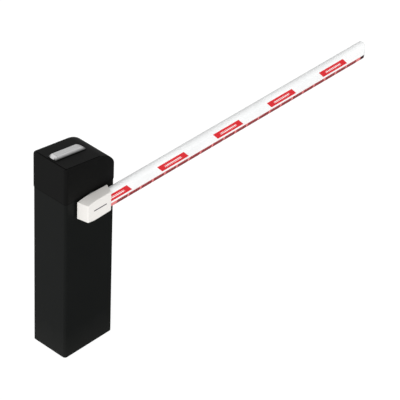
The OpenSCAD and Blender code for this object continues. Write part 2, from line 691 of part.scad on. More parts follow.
module control_board() color("#1e6b3c") {
    block([box_x[0] + 8, panel_y + 9, box_z[0] + 8], [box_x[1] - 8, panel_y + 11, box_z[1] - 8]);
    for (x = [box_x[0] + 14, box_x[1] - 14], z = [box_z[0] + 14, box_z[1] - 14])
        bar_y(x, z, panel_y + 5, panel_y + 10, 4);
    for (k = [0 : 3]) block([box_x[0] + 20 + 26 * k, panel_y + 10, box_z[1] - 60],
        [box_x[0] + 38 + 26 * k, panel_y + 26, box_z[1] - 32]);
    for (k = [0 : 2]) bar_y(box_x[0] + 34 + 32 * k, box_z[0] + 90, panel_y + 10, panel_y + 35, 9);
}

module terminal_blocks() color("#3f7f5a") for (k = [0 : 9])
    block([box_x[0] + 18 + 11 * k, panel_y + 11, box_z[0] + 18],
        [box_x[0] + 28 + 11 * k, panel_y + 24, box_z[0] + 36]);

module transformer() color("#5a5148") {
    block([-125, panel_y + 2, 345], [-55, panel_y + 6, 435]);
    block([-118, panel_y + 5, 355], [-62, panel_y + 55, 425]);
    block([-112, panel_y + 12, 349], [-68, panel_y + 48, 431]);
}

module motor_cable() color("#1b1b1b") tube_along(motor_cable_points, cable_r);
module lamp_cable() color("#1b1b1b") tube_along(lamp_cable_points, cable_r - 1);

// ---- boom ----

// The boom's section: flat sides with a half circle above and below, set in by inset
module boom_section(inset) {
    square([boom_d - 2 * inset, boom_h - boom_d], center = true);
    for (s = [-1, 1]) translate([0, s * (boom_h / 2 - boom_r)]) circle(r = boom_r - inset, $fn = 64);
}

// A length of the boom's section, placed along X
module boom_bar(x0, x1, inset) translate([0, boom_y, pivot_z]) slab_x(x0, x1) boom_section(inset);

module boom_tube() color("#eef0f0") difference() {
    boom_bar(boom_x0, boom_reach - cap_t, 0);
    boom_bar(boom_x0 - 1, boom_reach, boom_wall);
    block([boom_x0 - 1, boom_front - 1, pivot_z - boom_h], [boom_reach, boom_back + 1, strip_z]);
    for (x = clamp_x) bar_y(x, pivot_z, boom_front - 1, boom_back + 1, stud_r + hole_gap);
}

module light_strip() color("#d88c8c") difference() {
    boom_bar(boom_x0, boom_reach - cap_t, 0);
    block([boom_x0 - 1, boom_front - 1, strip_z - skin_gap], [boom_reach, boom_back + 1, pivot_z + boom_h]);
    intersection() {
        boom_bar(boom_x0 - 1, boom_reach, 3);
        block([boom_x0 - 2, boom_front, pivot_z - boom_h], [boom_reach + 1, boom_back, strip_z - 4]);
    }
}

// A thin skin on the boom's surface, of thickness t, kept where the children are
module boom_skin(t) intersection() {
    difference() {
        boom_bar(boom_x0, boom_reach, -skin_gap - t);
        boom_bar(boom_x0 - 1, boom_reach + 1, -skin_gap);
    }
    children();
}

module light_segments() color("#7c1f24") boom_skin(segment_t) for (k = [0 : light_count - 1])
    block([light_x0 + k * light_pitch + segment_gap / 2, boom_front - 5, pivot_z - boom_h],
        [light_x0 + (k + 1) * light_pitch - segment_gap / 2, boom_y - 6, strip_z - 1]);

module reflector_marks() color("#d8202c") boom_skin(mark_t) difference() {
    for (k = [0 : mark_count - 1])
        translate([mark_x0 + k * mark_pitch, 0, strip_z + mark_low]) slab_y(boom_front - 5, boom_y - 6)
            polygon([[-mark_l / 2 + mark_lean / 2, 0], [mark_l / 2 + mark_lean / 2, 0],
                [mark_l / 2 - mark_lean / 2, mark_high], [-mark_l / 2 - mark_lean / 2, mark_high]]);
    // Room for the clamp nuts
    for (x = clamp_x) bar_y(x, pivot_z, boom_front - 6, boom_y, nut_flats / sqrt(3) + 1);
}

module boom_end_cap() color("#dfe2e2") {
    boom_bar(boom_reach - cap_t, boom_reach, 0);
    intersection() {
        boom_bar(boom_reach - 20, boom_reach - cap_t + 1, boom_wall + hole_gap);
        block([boom_reach - 21, boom_front, strip_z + 1], [boom_reach, boom_back, pivot_z + boom_h]);
    }
}

module boom_hub() color("#3a3d3c") difference() {
    bar_y(0, pivot_z, hub_y, hub_y + hub_t, hub_r);
    bar_y(0, pivot_z, hub_y - 1, hub_y + hub_t + 1, shaft_r + fit_gap);
    key_slot(hub_y, hub_y + hub_t);
    for (a = [45 : 90 : 315]) bar_y(36 * cos(a), pivot_z + 36 * sin(a), hub_y - 1, hub_y + hub_t + 1, 3 + fit_gap);
}

module boom_bracket() color("#6d7372") difference() {
    union() {
        block([-72, bracket_y, pivot_z - 40], [58, bracket_y + bracket_t, pivot_z + 40]);
        block([tab_x[0] - 8, bracket_y - 34, pivot_z + tab_z - 2], [tab_x[1] + 8, bracket_y + 1, pivot_z + tab_z + 2]);
    }
    for (a = [45 : 90 : 315]) {
        bar_y(36 * cos(a), pivot_z + 36 * sin(a), bracket_y - 1, bracket_y + bracket_t + 1, 3 + hole_gap);
        bar_y(36 * cos(a), pivot_z + 36 * sin(a), bracket_y - 1, bracket_y + 2.5, 5.5 + hole_gap);
    }
    for (x = clamp_x) bar_y(x, pivot_z, bracket_y - 1, bracket_y + bracket_t + 1, stud_r + fit_gap);
    for (x = tab_x) bar_z(x, boom_y, pivot_z + tab_z - 3, pivot_z + tab_z + 3, tab_r + fit_gap);
}

module bracket_bolts() color("#8b8f8e") for (a = [45 : 90 : 315]) {
    bar_y(36 * cos(a), pivot_z + 36 * sin(a), bracket_y, bracket_y + 2.5, 5.5);
    bar_y(36 * cos(a), pivot_z + 36 * sin(a), bracket_y + 2, hub_y + hub_t, 3);
}

// The two studs through the boom with their nuts, and the cover's two screws from below
module clamp_fasteners() color("silver") {
    for (x = clamp_x) {
        bar_y(x, pivot_z, boom_front - nut_h - 0.5, bracket_y + bracket_t, stud_r);
        hex_y(x, pivot_z, boom_front - nut_h - skin_gap, boom_front - skin_gap, nut_flats);
    }
    for (x = tab_x) {
        low = pivot_z - cover_half(cover_u(x)) - 0.4;
        bar_z(x, boom_y, low - 2.6, low, 4.5);
        bar_z(x, boom_y, low - 1, pivot_z + tab_z + 4, tab_r);
    }
}

// The cover's section changes along X: square at the closed end, rounder and taller where the boom leaves
function cover_u(x) = (x - cover_x0 + 6) / (cover_x1 - cover_x0 + 18);
function cover_half(u) = cover_end_h + (cover_full_h - cover_end_h) * sin(90 * min(1, max(0, u) / 0.4));
function cover_corner(u) = 3 + 6 * pow(max(0, u), 1.6);
function cover_ring(u, inset, x_low, x_high) = let (
        y0 = cover_front + inset, y1 = cover_back, h = cover_half(u) - inset,
        r = max(0.6, cover_corner(u) - inset), n = 6)
    [for (q = [0 : 3], k = [0 : n]) let (
        a = 90 * q + 90 * k / n,
        cy = (q == 0 || q == 3) ? y1 - r : y0 + r, cz = q < 2 ? h - r : -h + r,
        y = cy + r * cos(a), z = cz + r * sin(a),
        left = x_low - cover_left_draft * (y - cover_front),
        right = x_high + cover_right_draft * (y - cover_front))
        [left + (right - left) * u, y, pivot_z + z]];

module cover_loft(inset, x_low, x_high, n = 12) {
    rings = [for (i = [0 : n]) cover_ring(i / n, inset, x_low, x_high)];
    m = len(rings[0]);
    points = [for (ring = rings) for (p = ring) p];
    sides = [for (i = [0 : n - 1], k = [0 : m - 1]) for (half = [0, 1]) half == 0
        ? [i * m + k, (i + 1) * m + k, (i + 1) * m + (k + 1) % m]
        : [i * m + k, (i + 1) * m + (k + 1) % m, i * m + (k + 1) % m]];
    polyhedron(points, concat([[for (k = [0 : m - 1]) k]], [[for (k = [m - 1 : -1 : 0]) n * m + k]], sides),
        convexity = 6);
}

module boom_cover() color("#e6e3de") difference() {
    cover_loft(0, cover_x0, cover_x1);
    cover_loft(cover_t, cover_x0 + cover_t, cover_x1 + 4);
    block([cover_x0 - 40, bracket_y + bracket_t - 1, pivot_z - 80], [cover_x1 + 80, cover_back + 1, pivot_z + 80]);
    for (x = tab_x) bar_z(x, boom_y, pivot_z - 80, pivot_z - 20, tab_r + hole_gap);
}

base_plate();
cabinet_shell();
rear_door();
door_seal();
cabinet_hinge_leaves();
door_hinge_leaves();
hinge_pins();
lock_cylinder();
lock_cam();
hood_shell();
hood_screws();
lamp_lens();
lamp_tray();
lamp_board();
drive_chassis();
chassis_spacers();
chassis_bolts();
rear_bearing_plate();
front_bearing();
rear_bearing();
shaft_seal();
drive_shaft();
main_gear();
balance_lever();
drive_keys();
limit_cam();
limit_switches();
spring_pin();
balance_spring();
spring_anchor();
adjuster_rod();
adjuster_nuts();
stop_brackets();
stop_buffers();
intermediate_axle();
axle_sleeve();
intermediate_gear();
gearmotor_housing();
motor_pinion();
motor_bolts();
release_lever();
release_pivot();
electronics_plate();
control_enclosure();
control_lid();
control_board();
terminal_blocks();
transformer();
motor_cable();
lamp_cable();
boom_hub();
boom_bracket();
bracket_bolts();
clamp_fasteners();
boom_cover();
boom_tube();
light_strip();
light_segments();
reflector_marks();
boom_end_cap();
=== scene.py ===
"""Parking barrier gate: its visible surfaces, finishes, light and camera, built round the CAD frame."""
import json
import math

import bmesh
import bpy
import numpy as np
from mathutils import Matrix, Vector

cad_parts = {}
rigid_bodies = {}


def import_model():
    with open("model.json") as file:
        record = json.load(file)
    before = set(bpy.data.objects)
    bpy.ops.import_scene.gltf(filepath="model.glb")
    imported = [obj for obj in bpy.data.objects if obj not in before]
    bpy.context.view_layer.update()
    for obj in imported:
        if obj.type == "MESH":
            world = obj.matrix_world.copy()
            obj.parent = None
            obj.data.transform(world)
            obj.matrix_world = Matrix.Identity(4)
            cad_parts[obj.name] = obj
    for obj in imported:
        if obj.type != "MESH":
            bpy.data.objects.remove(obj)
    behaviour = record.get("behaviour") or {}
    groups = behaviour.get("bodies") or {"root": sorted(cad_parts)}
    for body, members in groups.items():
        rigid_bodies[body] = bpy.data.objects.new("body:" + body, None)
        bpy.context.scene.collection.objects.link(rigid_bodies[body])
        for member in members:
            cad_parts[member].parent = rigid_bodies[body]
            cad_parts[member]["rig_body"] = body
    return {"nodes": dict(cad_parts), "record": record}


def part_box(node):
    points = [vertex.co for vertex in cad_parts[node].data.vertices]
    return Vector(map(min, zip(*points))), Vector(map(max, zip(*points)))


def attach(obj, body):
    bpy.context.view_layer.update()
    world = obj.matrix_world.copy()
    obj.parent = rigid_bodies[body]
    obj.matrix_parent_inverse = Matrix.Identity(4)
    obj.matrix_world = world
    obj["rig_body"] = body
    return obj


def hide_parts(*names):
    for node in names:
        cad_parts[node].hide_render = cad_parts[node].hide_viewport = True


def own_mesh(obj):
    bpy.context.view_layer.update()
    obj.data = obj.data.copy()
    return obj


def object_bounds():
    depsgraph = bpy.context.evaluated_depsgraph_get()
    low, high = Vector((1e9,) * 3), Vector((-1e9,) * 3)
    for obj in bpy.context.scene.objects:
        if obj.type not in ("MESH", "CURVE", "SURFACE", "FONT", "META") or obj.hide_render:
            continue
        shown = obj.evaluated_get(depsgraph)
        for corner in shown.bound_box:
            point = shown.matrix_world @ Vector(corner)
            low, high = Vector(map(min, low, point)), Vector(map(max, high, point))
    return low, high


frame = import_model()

bl_info = {
    "name": "Parking Barrier Gate",
    "version": (1, 0, 0),
    "blender": (4, 5, 0),
    "location": "View3D > Sidebar > Barrier",
    "description": "Builds a parking barrier gate with its hood, boom, cover, lights and drive",
    "category": "Add Mesh",
}

NODES = frame["nodes"]
CAD_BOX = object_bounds()
SLOTS = {part["node"]: part["material_slot"] for part in frame["record"]["subparts"]}


# ---- sizes and colours that a user would change ----


def length(name, description, default, low=0.0, high=1.0):
    """A length property, shown in the scene's units."""
    limits = {"min": low, "max": high, "precision": 4}
    return bpy.props.FloatProperty(name=name, description=description, default=default, unit="LENGTH", **limits)


def colour(name, description, default):
    """A colour property, in linear light."""
    kind = {"size": 3, "min": 0.0, "max": 1.0, "subtype": "COLOR"}
    return bpy.props.FloatVectorProperty(name=name, description=description, default=default, **kind)


class BarrierSizes(bpy.types.PropertyGroup):
    """Sizes of the details that the visible surfaces add to the frame"""

    hood_edge: length("Hood edge", "Radius of the hood's folded top edges", 0.0025)
    groove_width: length("Groove width", "Width of the seam round the hood's lid", 0.0050)
    groove_depth: length("Groove depth", "Depth of the seam round the hood's lid", 0.0016)
    cover_edge: length("Cover edge", "Radius of the boom cover's moulded end", 0.003)
    plate_length: length("Plate length", "Length of the blank plate on the boom cover", 0.078)
    plate_height: length("Plate height", "Height of the blank plate on the boom cover", 0.0058)
    cap_edge: length("Cap edge", "Radius of the boom end cap's rim", 0.0016)
    strip_rib: length("Strip rib", "Depth of the ribs along the light strip", 0.00022)
    strip_plug: length("Strip plug", "Length of the dark plug that closes the light strip", 0.026)
    spring_wire: length("Spring wire", "Diameter of the balance spring's wire", 0.005)
    spring_turns: bpy.props.IntProperty(
        name="Spring turns", description="Number of coils in the balance spring", default=56, min=10, max=90
    )
    metal_edge: length("Metal edge", "Width of the broken edges on plates and machined parts", 0.0004)
    diodes: bpy.props.IntProperty(
        name="Diodes", description="Number of diodes in each segment of the light strip", default=6, min=1, max=12
    )


class BarrierColours(bpy.types.PropertyGroup):
    """Colours of the finishes that show from outside"""

    cabinet: colour("Cabinet", "Powder coat of the cabinet and its door", (0.0050, 0.0056, 0.0053))
    hood: colour("Hood", "Powder coat of the hood", (0.0036, 0.0037, 0.0035))
    cover: colour("Boom cover", "Moulded cover over the boom's bracket", (0.715, 0.695, 0.665))
    boom: colour("Boom", "Paint of the boom's profile", (0.81, 0.82, 0.82))
    lens: colour("Lamp lens", "Frosted lens on the hood", (0.56, 0.56, 0.56))
    film: colour("Reflector film", "Red of the reflector film", (0.68, 0.009, 0.018))
    strip: colour("Light strip", "Clear red plastic of the light strip", (0.72, 0.19, 0.19))
    segment: colour("Light segment", "Unlit light segments", (0.25, 0.028, 0.032))
    plate: colour("Blank plate", "Blank plate on the boom cover", (0.10, 0.095, 0.105))
    floor: colour("Floor", "Floor under the barrier", (0.20, 0.20, 0.20))


# ---- surfaces: points on a grid, worked out as whole arrays ----


def grid_faces(rows, columns, wrap_rows=False, wrap_columns=False):
    """Four-cornered faces between neighbouring points of a grid that is numbered row by row."""
    i = np.arange(rows if wrap_rows else rows - 1)[:, None]
    j = np.arange(columns if wrap_columns else columns - 1)[None, :]
    across, along = (j + 1) % columns, (i + 1) % rows
    corners = [i * columns + j, i * columns + across, along * columns + across, along * columns + j]
    return np.stack(np.broadcast_arrays(*corners), -1).reshape(-1, 4)


def end_rings(rows, columns):
    """The first and the last row of a grid as rings of point numbers, which face away from each other."""
    return np.arange(columns)[::-1], np.arange(columns) + (rows - 1) * columns


def face_list(*groups):
    """Faces as one plain list, from arrays of faces and single rings of point numbers."""
    faces = []
    for group in groups:
        group = np.asarray(group)
        faces += group.tolist() if group.ndim == 2 else [group.tolist()]
    return faces


def outward(points, faces):
    """The faces turned so that they look away from the middle: the sum, over all faces, of the normal times
    the way from the middle is positive."""
    a, b, c = points[np.array([f[:3] for f in faces]).T]
    flow = (np.cross(b - a, c - a) * (a - points.mean(0))).sum()
    return faces if flow > 0 else [f[::-1] for f in faces]


def join_shells(*shells):
    """Several (points, faces) shells as one."""
    points, faces, start = [], [], 0
    for some_points, some_faces in shells:
        points.append(some_points)
        faces += [[start + k for k in f] for f in some_faces]
        start += len(some_points)
    return np.concatenate(points), faces


def double_wall(outer, inner, faces):
    """A sheet with a thickness: the faces on the outer points, the same faces turned round on the inner points,
    and a rim along every edge that only one face has."""
    count = len(outer)
    edges = {(f[k], f[(k + 1) % len(f)]) for f in faces for k in range(len(f))}
    rim = [[b, a, a + count, b + count] for a, b in edges if (b, a) not in edges]
    inside = [[k + count for k in f[::-1]] for f in faces]
    return np.concatenate([outer, inner]), faces + inside + sorted(rim)


def unit(vectors):
    """Vectors of length one: each is divided by its own length."""
    return vectors / np.maximum(np.linalg.norm(vectors, axis=-1, keepdims=True), 1e-9)


def rounded_outline(corners, radii, steps=8):
    """Closed outline through the corners, each one replaced by an arc. The arc's middle lies on the line that
    halves the corner, at radius / sin(half the corner), and its points turn evenly from one edge's normal to
    the next's."""
    corners, radii = np.asarray(corners, float), np.asarray(radii, float)[:, None]
    back = unit(np.roll(corners, 1, 0) - corners)
    ahead = unit(np.roll(corners, -1, 0) - corners)
    half = np.arccos(np.clip((back * ahead).sum(1, keepdims=True), -1, 1)) / 2
    middle = corners + unit(back + ahead) * radii / np.sin(half)
    reach = radii / np.tan(half)
    first, last = unit(corners + back * reach - middle), unit(corners + ahead * reach - middle)
    turn = (math.pi - 2 * half)[:, :, None]
    t = np.linspace(0, 1, steps)[None, :, None]
    arc = (np.sin((1 - t) * turn) * first[:, None] + np.sin(t * turn) * last[:, None]) / np.sin(turn)
    return (middle[:, None] + radii[:, :, None] * arc).reshape(-1, 2)


def rounded_box(low, high, radii, steps=8):
    """Rounded outline of the box between two opposite corners, with one radius or four."""
    corners = [low, (high[0], low[1]), high, (low[0], high[1])]
    return rounded_outline(corners, np.broadcast_to(radii, 4), steps)


def outline_normals(outline):
    """Unit normals of a closed outline, square to the line between each point's neighbours."""
    along = np.roll(outline, -1, 0) - np.roll(outline, 1, 0)
    return unit(np.stack([along[:, 1], -along[:, 0]], -1))


def soft_bar(outline, low, high, edge, axis=0, steps=4):
    """A closed bar with one outline all the way and rounded ends. Each end is a quarter circle of the edge's
    radius: the outline moves inwards by edge * (1 - cos a) while it goes on by edge * sin a."""
    following = np.roll(outline, -1, 0)
    area = np.dot(outline[:, 0], following[:, 1]) - np.dot(outline[:, 1], following[:, 0])
    normal = outline_normals(outline) * math.copysign(1, area)
    a = np.linspace(0, math.pi / 2, steps + 1)
    inset = np.concatenate([edge * (1 - np.cos(a))[::-1], edge * (1 - np.cos(a))])
    place = np.concatenate([low + edge * (1 - np.sin(a))[::-1], high - edge * (1 - np.sin(a))])
    flat = outline[None] - normal[None] * inset[:, None, None]
    points = np.insert(flat, axis, np.broadcast_to(place[:, None], flat.shape[:2]), axis=2).reshape(-1, 3)
    rows, columns = len(place), len(outline)
    faces = face_list(grid_faces(rows, columns, wrap_columns=True), *end_rings(rows, columns))
    return points, outward(points, faces)


def turned(profile, middle, axis, count=32):
    """A turned piece: a profile of (distance along the axis, radius), carried round the axis. A flat disc closes
    each of its ends."""
    profile = np.asarray(profile, float)
    angle = np.linspace(0, 2 * math.pi, count, endpoint=False)
    rings = profile[:, None, 1] * np.array([np.cos(angle), np.sin(angle)])[:, None]
    ring = np.stack([np.broadcast_to(profile[:, None, 0], rings[0].shape), rings[0], rings[1]], -1)
    points = np.roll(ring, axis, axis=2).reshape(-1, 3) + np.asarray(middle, float)
    rows = len(profile)
    faces = face_list(grid_faces(rows, count, wrap_columns=True), *end_rings(rows, count))
    return points, outward(points, faces)


def tube(path, radius, side, count=10, closed=False):
    """A round tube along a path. At each point the ring lies square to the path: its first direction is the side
    hint less its part along the path, and its second is the cross product of the two."""
    ahead = unit(np.roll(path, -1, 0) - np.roll(path, 1, 0) if closed else np.gradient(path, axis=0))
    side = np.asarray(side, float)
    first = unit(side - (side * ahead).sum(-1, keepdims=True) * ahead)
    second = np.cross(ahead, first)
    a = np.linspace(0, 2 * math.pi, count, endpoint=False)[None, :, None]
    rings = path[:, None] + radius * (np.cos(a) * first[:, None] + np.sin(a) * second[:, None])
    points = rings.reshape(-1, 3)
    caps = () if closed else end_rings(len(path), count)
    faces = face_list(grid_faces(len(path), count, wrap_rows=closed, wrap_columns=True), *caps)
    return points, outward(points, faces)


def smooth_path(points, count):
    """A smooth curve through points: between two of them it is the cubic whose slopes are half the way between
    each point's neighbours."""
    points = np.asarray(points, float)
    slope = np.gradient(points, axis=0)
    s = np.linspace(0, len(points) - 1, count)
    k = np.minimum(s.astype(int), len(points) - 2)
    t = (s - k)[:, None]
    return (
        (2 * t**3 - 3 * t**2 + 1) * points[k]
        + (t**3 - 2 * t**2 + t) * slope[k]
        + (3 * t**2 - 2 * t**3) * points[k + 1]
        + (t**3 - t**2) * slope[k + 1]
    )


def place_mesh(name, mesh, body, slot, replaces=(), material=None, sharp=35.0):
    """A mesh as a piece that rides on a body, in the finish of a material slot."""
    mesh.shade_smooth()
    mesh.set_sharp_from_angle(angle=math.radians(sharp))
    mesh.materials.clear()
    mesh.materials.append(finish(material or slot))
    piece = bpy.data.objects.new(name, mesh)
    bpy.context.scene.collection.objects.link(piece)
    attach(piece, body)
    if replaces:
        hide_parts(*replaces)
    return piece


def shade_evenly(piece):
    """Normals weighted by the size of the faces, with the sharp edges kept."""
    piece.modifiers.new("Even shading", "WEIGHTED_NORMAL").keep_sharp = True


def make_piece(name, shell, body, slot, replaces=(), material=None, sharp=35.0, weighted=True):
    """A new piece from a (points, faces) shell."""
    points, faces = shell
    mesh = bpy.data.meshes.new(name)
    mesh.from_pydata(np.asarray(points).tolist(), [], faces)
    mesh.validate()
    piece = place_mesh(name, mesh, body, slot, replaces, material, sharp)
    if weighted:
        shade_evenly(piece)
    return piece


def break_edges(node, width):
    """A copy of a CAD node with its flat faces joined and its edges broken by a small bevel, in place of the node."""
    mesh = NODES[node].data.copy()
    shape = bmesh.new()
    shape.from_mesh(mesh)
    bmesh.ops.remove_doubles(shape, verts=shape.verts, dist=2e-6)
    bmesh.ops.dissolve_limit(shape, angle_limit=math.radians(0.6), verts=shape.verts, edges=shape.edges)
    shape.to_mesh(mesh)
    shape.free()
    if "custom_normal" in mesh.attributes:
        mesh.attributes.remove(mesh.attributes["custom_normal"])
    piece = place_mesh(node + "_part", mesh, NODES[node]["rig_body"], SLOTS[node], [node], sharp=30.0)
    bevel = piece.modifiers.new("Broken edges", "BEVEL")
    bevel.width, bevel.segments, bevel.limit_method = width, 2, "ANGLE"
    bevel.angle_limit, bevel.harden_normals = math.radians(40.0), False
    shade_evenly(piece)


# ---- materials ----


class Value:
    """A number in a material, as the output of a node. Arithmetic on it adds the material's Math nodes."""

    def __init__(self, recipe, socket):
        self.recipe, self.socket = recipe, socket

    def maths(self, operation, *terms):
        node = self.recipe.add("ShaderNodeMath", {"operation": operation}, dict(enumerate(terms)))
        return Value(self.recipe, node.outputs[0])

    def __add__(self, other):
        return self.maths("ADD", self, other)

    def __sub__(self, other):
        return self.maths("SUBTRACT", self, other)

    def __rsub__(self, other):
        return self.maths("SUBTRACT", other, self)

    def __mul__(self, other):
        return self.maths("MULTIPLY", self, other)

    def __gt__(self, other):
        return self.maths("GREATER_THAN", self, other)

    def __lt__(self, other):
        return self.maths("LESS_THAN", self, other)

    def __abs__(self):
        return self.maths("ABSOLUTE", self)

    def sine(self):
        return self.maths("SINE", self)

    def folded(self, pitch):
        """The number within one repeat of the pitch, from minus half to plus half of it."""
        return self.maths("WRAP", self, pitch / 2, -pitch / 2)

    __radd__, __rmul__ = __add__, __mul__


class NodeTree:
    """The nodes of a material or of the world, emptied and ready to be built."""

    def __init__(self, owner):
        owner.use_nodes = True
        self.owner, self.tree = owner, owner.node_tree
        self.tree.nodes.clear()

    def add(self, kind, settings=None, inputs=None):
        """A node of a kind, with its settings made first and then the values or links of its sockets."""
        node = self.tree.nodes.new(kind)
        for key, value in (settings or {}).items():
            setattr(node, key, value)
        for key, value in (inputs or {}).items():
            if isinstance(value, Value):
                value = value.socket
            if isinstance(value, bpy.types.NodeSocket):
                self.tree.links.new(value, node.inputs[key])
            else:
                node.inputs[key].default_value = value
        return node


class Recipe(NodeTree):
    """One procedural material, built node by node round its Principled shader."""

    def __init__(self, name, roughness=0.5, metallic=0.0, specular=0.5, coat=0.0):
        super().__init__(bpy.data.materials.new(name))
        levels = {"Roughness": roughness, "Metallic": metallic, "Specular IOR Level": specular, "Coat Weight": coat}
        self.shader = self.add("ShaderNodeBsdfPrincipled", None, levels)
        self.add("ShaderNodeOutputMaterial", None, {"Surface": self.shader.outputs[0]})
        self.place = self.add("ShaderNodeTexCoord").outputs["Object"]
        axes = self.add("ShaderNodeSeparateXYZ", None, {0: self.place}).outputs
        self.x, self.y, self.z = (Value(self, axis) for axis in axes)

    def noise(self, scale, detail=3.0, stretch=(1.0, 1.0, 1.0)):
        """Even noise from 0 to 1; scale counts its lumps in a metre, and stretch squeezes them along an axis."""
        place = self.place
        if stretch != (1.0, 1.0, 1.0):
            place = self.add("ShaderNodeMapping", None, {"Vector": place, "Scale": stretch}).outputs[0]
        sockets = {"Vector": place, "Scale": scale, "Detail": detail, "Roughness": 0.55}
        return Value(self, self.add("ShaderNodeTexNoise", None, sockets).outputs[0])

    def cells(self, scale, feature="F1", stretch=(1.0, 1.0, 1.0)):
        """The distance to the nearest point of scattered cells, or to their borders."""
        place = self.add("ShaderNodeMapping", None, {"Vector": self.place, "Scale": stretch}).outputs[0]
        node = self.add("ShaderNodeTexVoronoi", {"feature": feature}, {"Vector": place, "Scale": scale})
        return Value(self, node.outputs["Distance"])

    def spread(self, value, low, high, to_low=0.0, to_high=1.0):
        """The value carried from low..high to to_low..to_high, and held there outside."""
        sockets = {0: value, 1: low, 2: high, 3: to_low, 4: to_high}
        return Value(self, self.add("ShaderNodeMapRange", {"clamp": True}, sockets).outputs[0])

    def gloss(self, scale, low, high, cut=0.3):
        """A roughness from low to high that follows even noise, of which only the middle counts."""
        return self.spread(self.noise(scale, 2.0), cut, 1 - cut, low, high)

    def mix(self, first, second, share):
        """One colour turning into another as share goes from 0 to 1."""
        colours = [(*c, 1.0) if isinstance(c, tuple) else c for c in (first, second)]
        node = self.add("ShaderNodeMix", {"data_type": "RGBA"}, {0: share, 6: colours[0], 7: colours[1]})
        return node.outputs[2]

    def paint(self, tone, roughness=None, height=None, strength=0.3, depth=0.0002):
        """Feeds the shader: its colour, its roughness and, from a height, its surface."""
        inputs = self.shader.inputs
        if isinstance(tone, tuple):
            inputs["Base Color"].default_value = (*tone, 1.0)
        else:
            self.tree.links.new(tone, inputs["Base Color"])
        if roughness is not None:
            self.tree.links.new(roughness.socket, inputs["Roughness"])
        if height is not None:
            sockets = {"Height": height, "Strength": strength, "Distance": depth}
            self.tree.links.new(self.add("ShaderNodeBump", None, sockets).outputs[0], inputs["Normal"])
        return self.owner


def shade(tone, share):
    """A colour made lighter or darker by a share, as a tuple."""
    return tuple(min(1.0, c * share) for c in tone)


def powder_coat(name, tone, specular=0.5, roughness=0.5, grain=700.0, dust=0.0, strength=0.3, seam=False):
    """Fine-textured powder coat: orange-peel grain, slow changes of tone and gloss, a breath of dust low down,
    and painted shade: the groove of the lid's seam coloured near black."""
    recipe = Recipe(name, specular=specular)
    cloud = recipe.noise(5.0, 4.0)
    peel = recipe.noise(grain, 2.0) * 0.7 + recipe.noise(grain * 3.1, 2.0) * 0.3
    coat = recipe.mix(shade(tone, 0.9), shade(tone, 1.12), cloud)
    coat = recipe.mix(coat, shade(tone, 1.25), recipe.spread(recipe.noise(grain * 1.3, 1.0), 0.66, 0.8) * 0.5)
    if dust:
        low = recipe.spread(recipe.z + recipe.noise(14.0, 4.0) * 0.1, 0.02, 0.2, dust, 0.0)
        coat = recipe.mix(coat, (0.10, 0.095, 0.085), low)
    gloss = recipe.spread(cloud + peel * 0.5, 0.4, 1.1, roughness - 0.05, roughness + 0.07)
    if seam:
        width = bpy.context.scene.barrier_sizes.groove_width
        along_x = abs(recipe.x + (HOOD_HALF - SEAM_IN - width / 2)) < width * 0.45
        along_y = abs(recipe.y + (HOOD_SIDE - SEAM_IN - width / 2)) < width * 0.45
        fall = (recipe.x + HOOD_HALF) * math.tan(HOOD_TILT)
        on_lid = (recipe.z + fall > HOOD_HIGH.z - 0.0024) * (recipe.x < HOOD_HALF - NOSE_R + 0.018)
        painted_seam_shade = along_x.maths("MAXIMUM", along_x, along_y) * on_lid
        # Painted shade: inside the lid's seam groove the coat's colour goes to 2% of its tone, standing in for the
        # shade that falls there.
        coat = recipe.mix(coat, shade(tone, 0.02), painted_seam_shade)
        gloss = gloss + painted_seam_shade * 0.45
    return recipe.paint(coat, gloss, peel, strength)


def moulded(name, tone, roughness=0.45, grain=900.0, specular=0.5, coat=0.0, strength=0.18, spread=0.04):
    """Moulded plastic: a fine spark-eroded grain, with slow changes of tone."""
    recipe = Recipe(name, specular=specular, coat=coat)
    cloud = recipe.noise(9.0, 3.0)
    grains = recipe.cells(grain) * 0.6 + recipe.noise(grain * 0.5, 2.0) * 0.4
    body = recipe.mix(shade(tone, 1 - spread), shade(tone, 1 + spread), cloud)
    gloss = recipe.spread(grains, 0.0, 1.0, roughness - 0.04, roughness + 0.06)
    return recipe.paint(body, gloss, grains, strength, 0.0001)


def worked_metal(name, tone, roughness=0.32, spangle=0.0):
    """Bare metal: fine tool lines along the grain, faint stains, and the crystals of zinc where it has them."""
    recipe = Recipe(name, metallic=1.0)
    lines = recipe.noise(60.0, 4.0, (1.0, 1.0, 30.0))
    stain = recipe.noise(18.0, 4.0)
    body = recipe.mix(shade(tone, 0.82), shade(tone, 1.1), lines * 0.5 + stain * 0.5)
    if spangle:
        body = recipe.mix(body, shade(tone, 1.3), recipe.cells(120.0) * spangle)
    gloss = recipe.spread(lines + stain * 0.6, 0.4, 1.1, roughness - 0.08, roughness + 0.12)
    return recipe.paint(body, gloss, lines, 0.12, 0.0001)


def rubber(name, tone):
    """Matt rubber: a dry, slightly dusty skin."""
    recipe = Recipe(name, specular=0.3)
    skin = recipe.noise(1400.0, 2.0)
    body = recipe.mix(shade(tone, 0.8), shade(tone, 1.8), recipe.noise(40.0, 4.0))
    return recipe.paint(body, recipe.spread(skin, 0.2, 0.8, 0.7, 0.9), skin, 0.25, 0.0001)


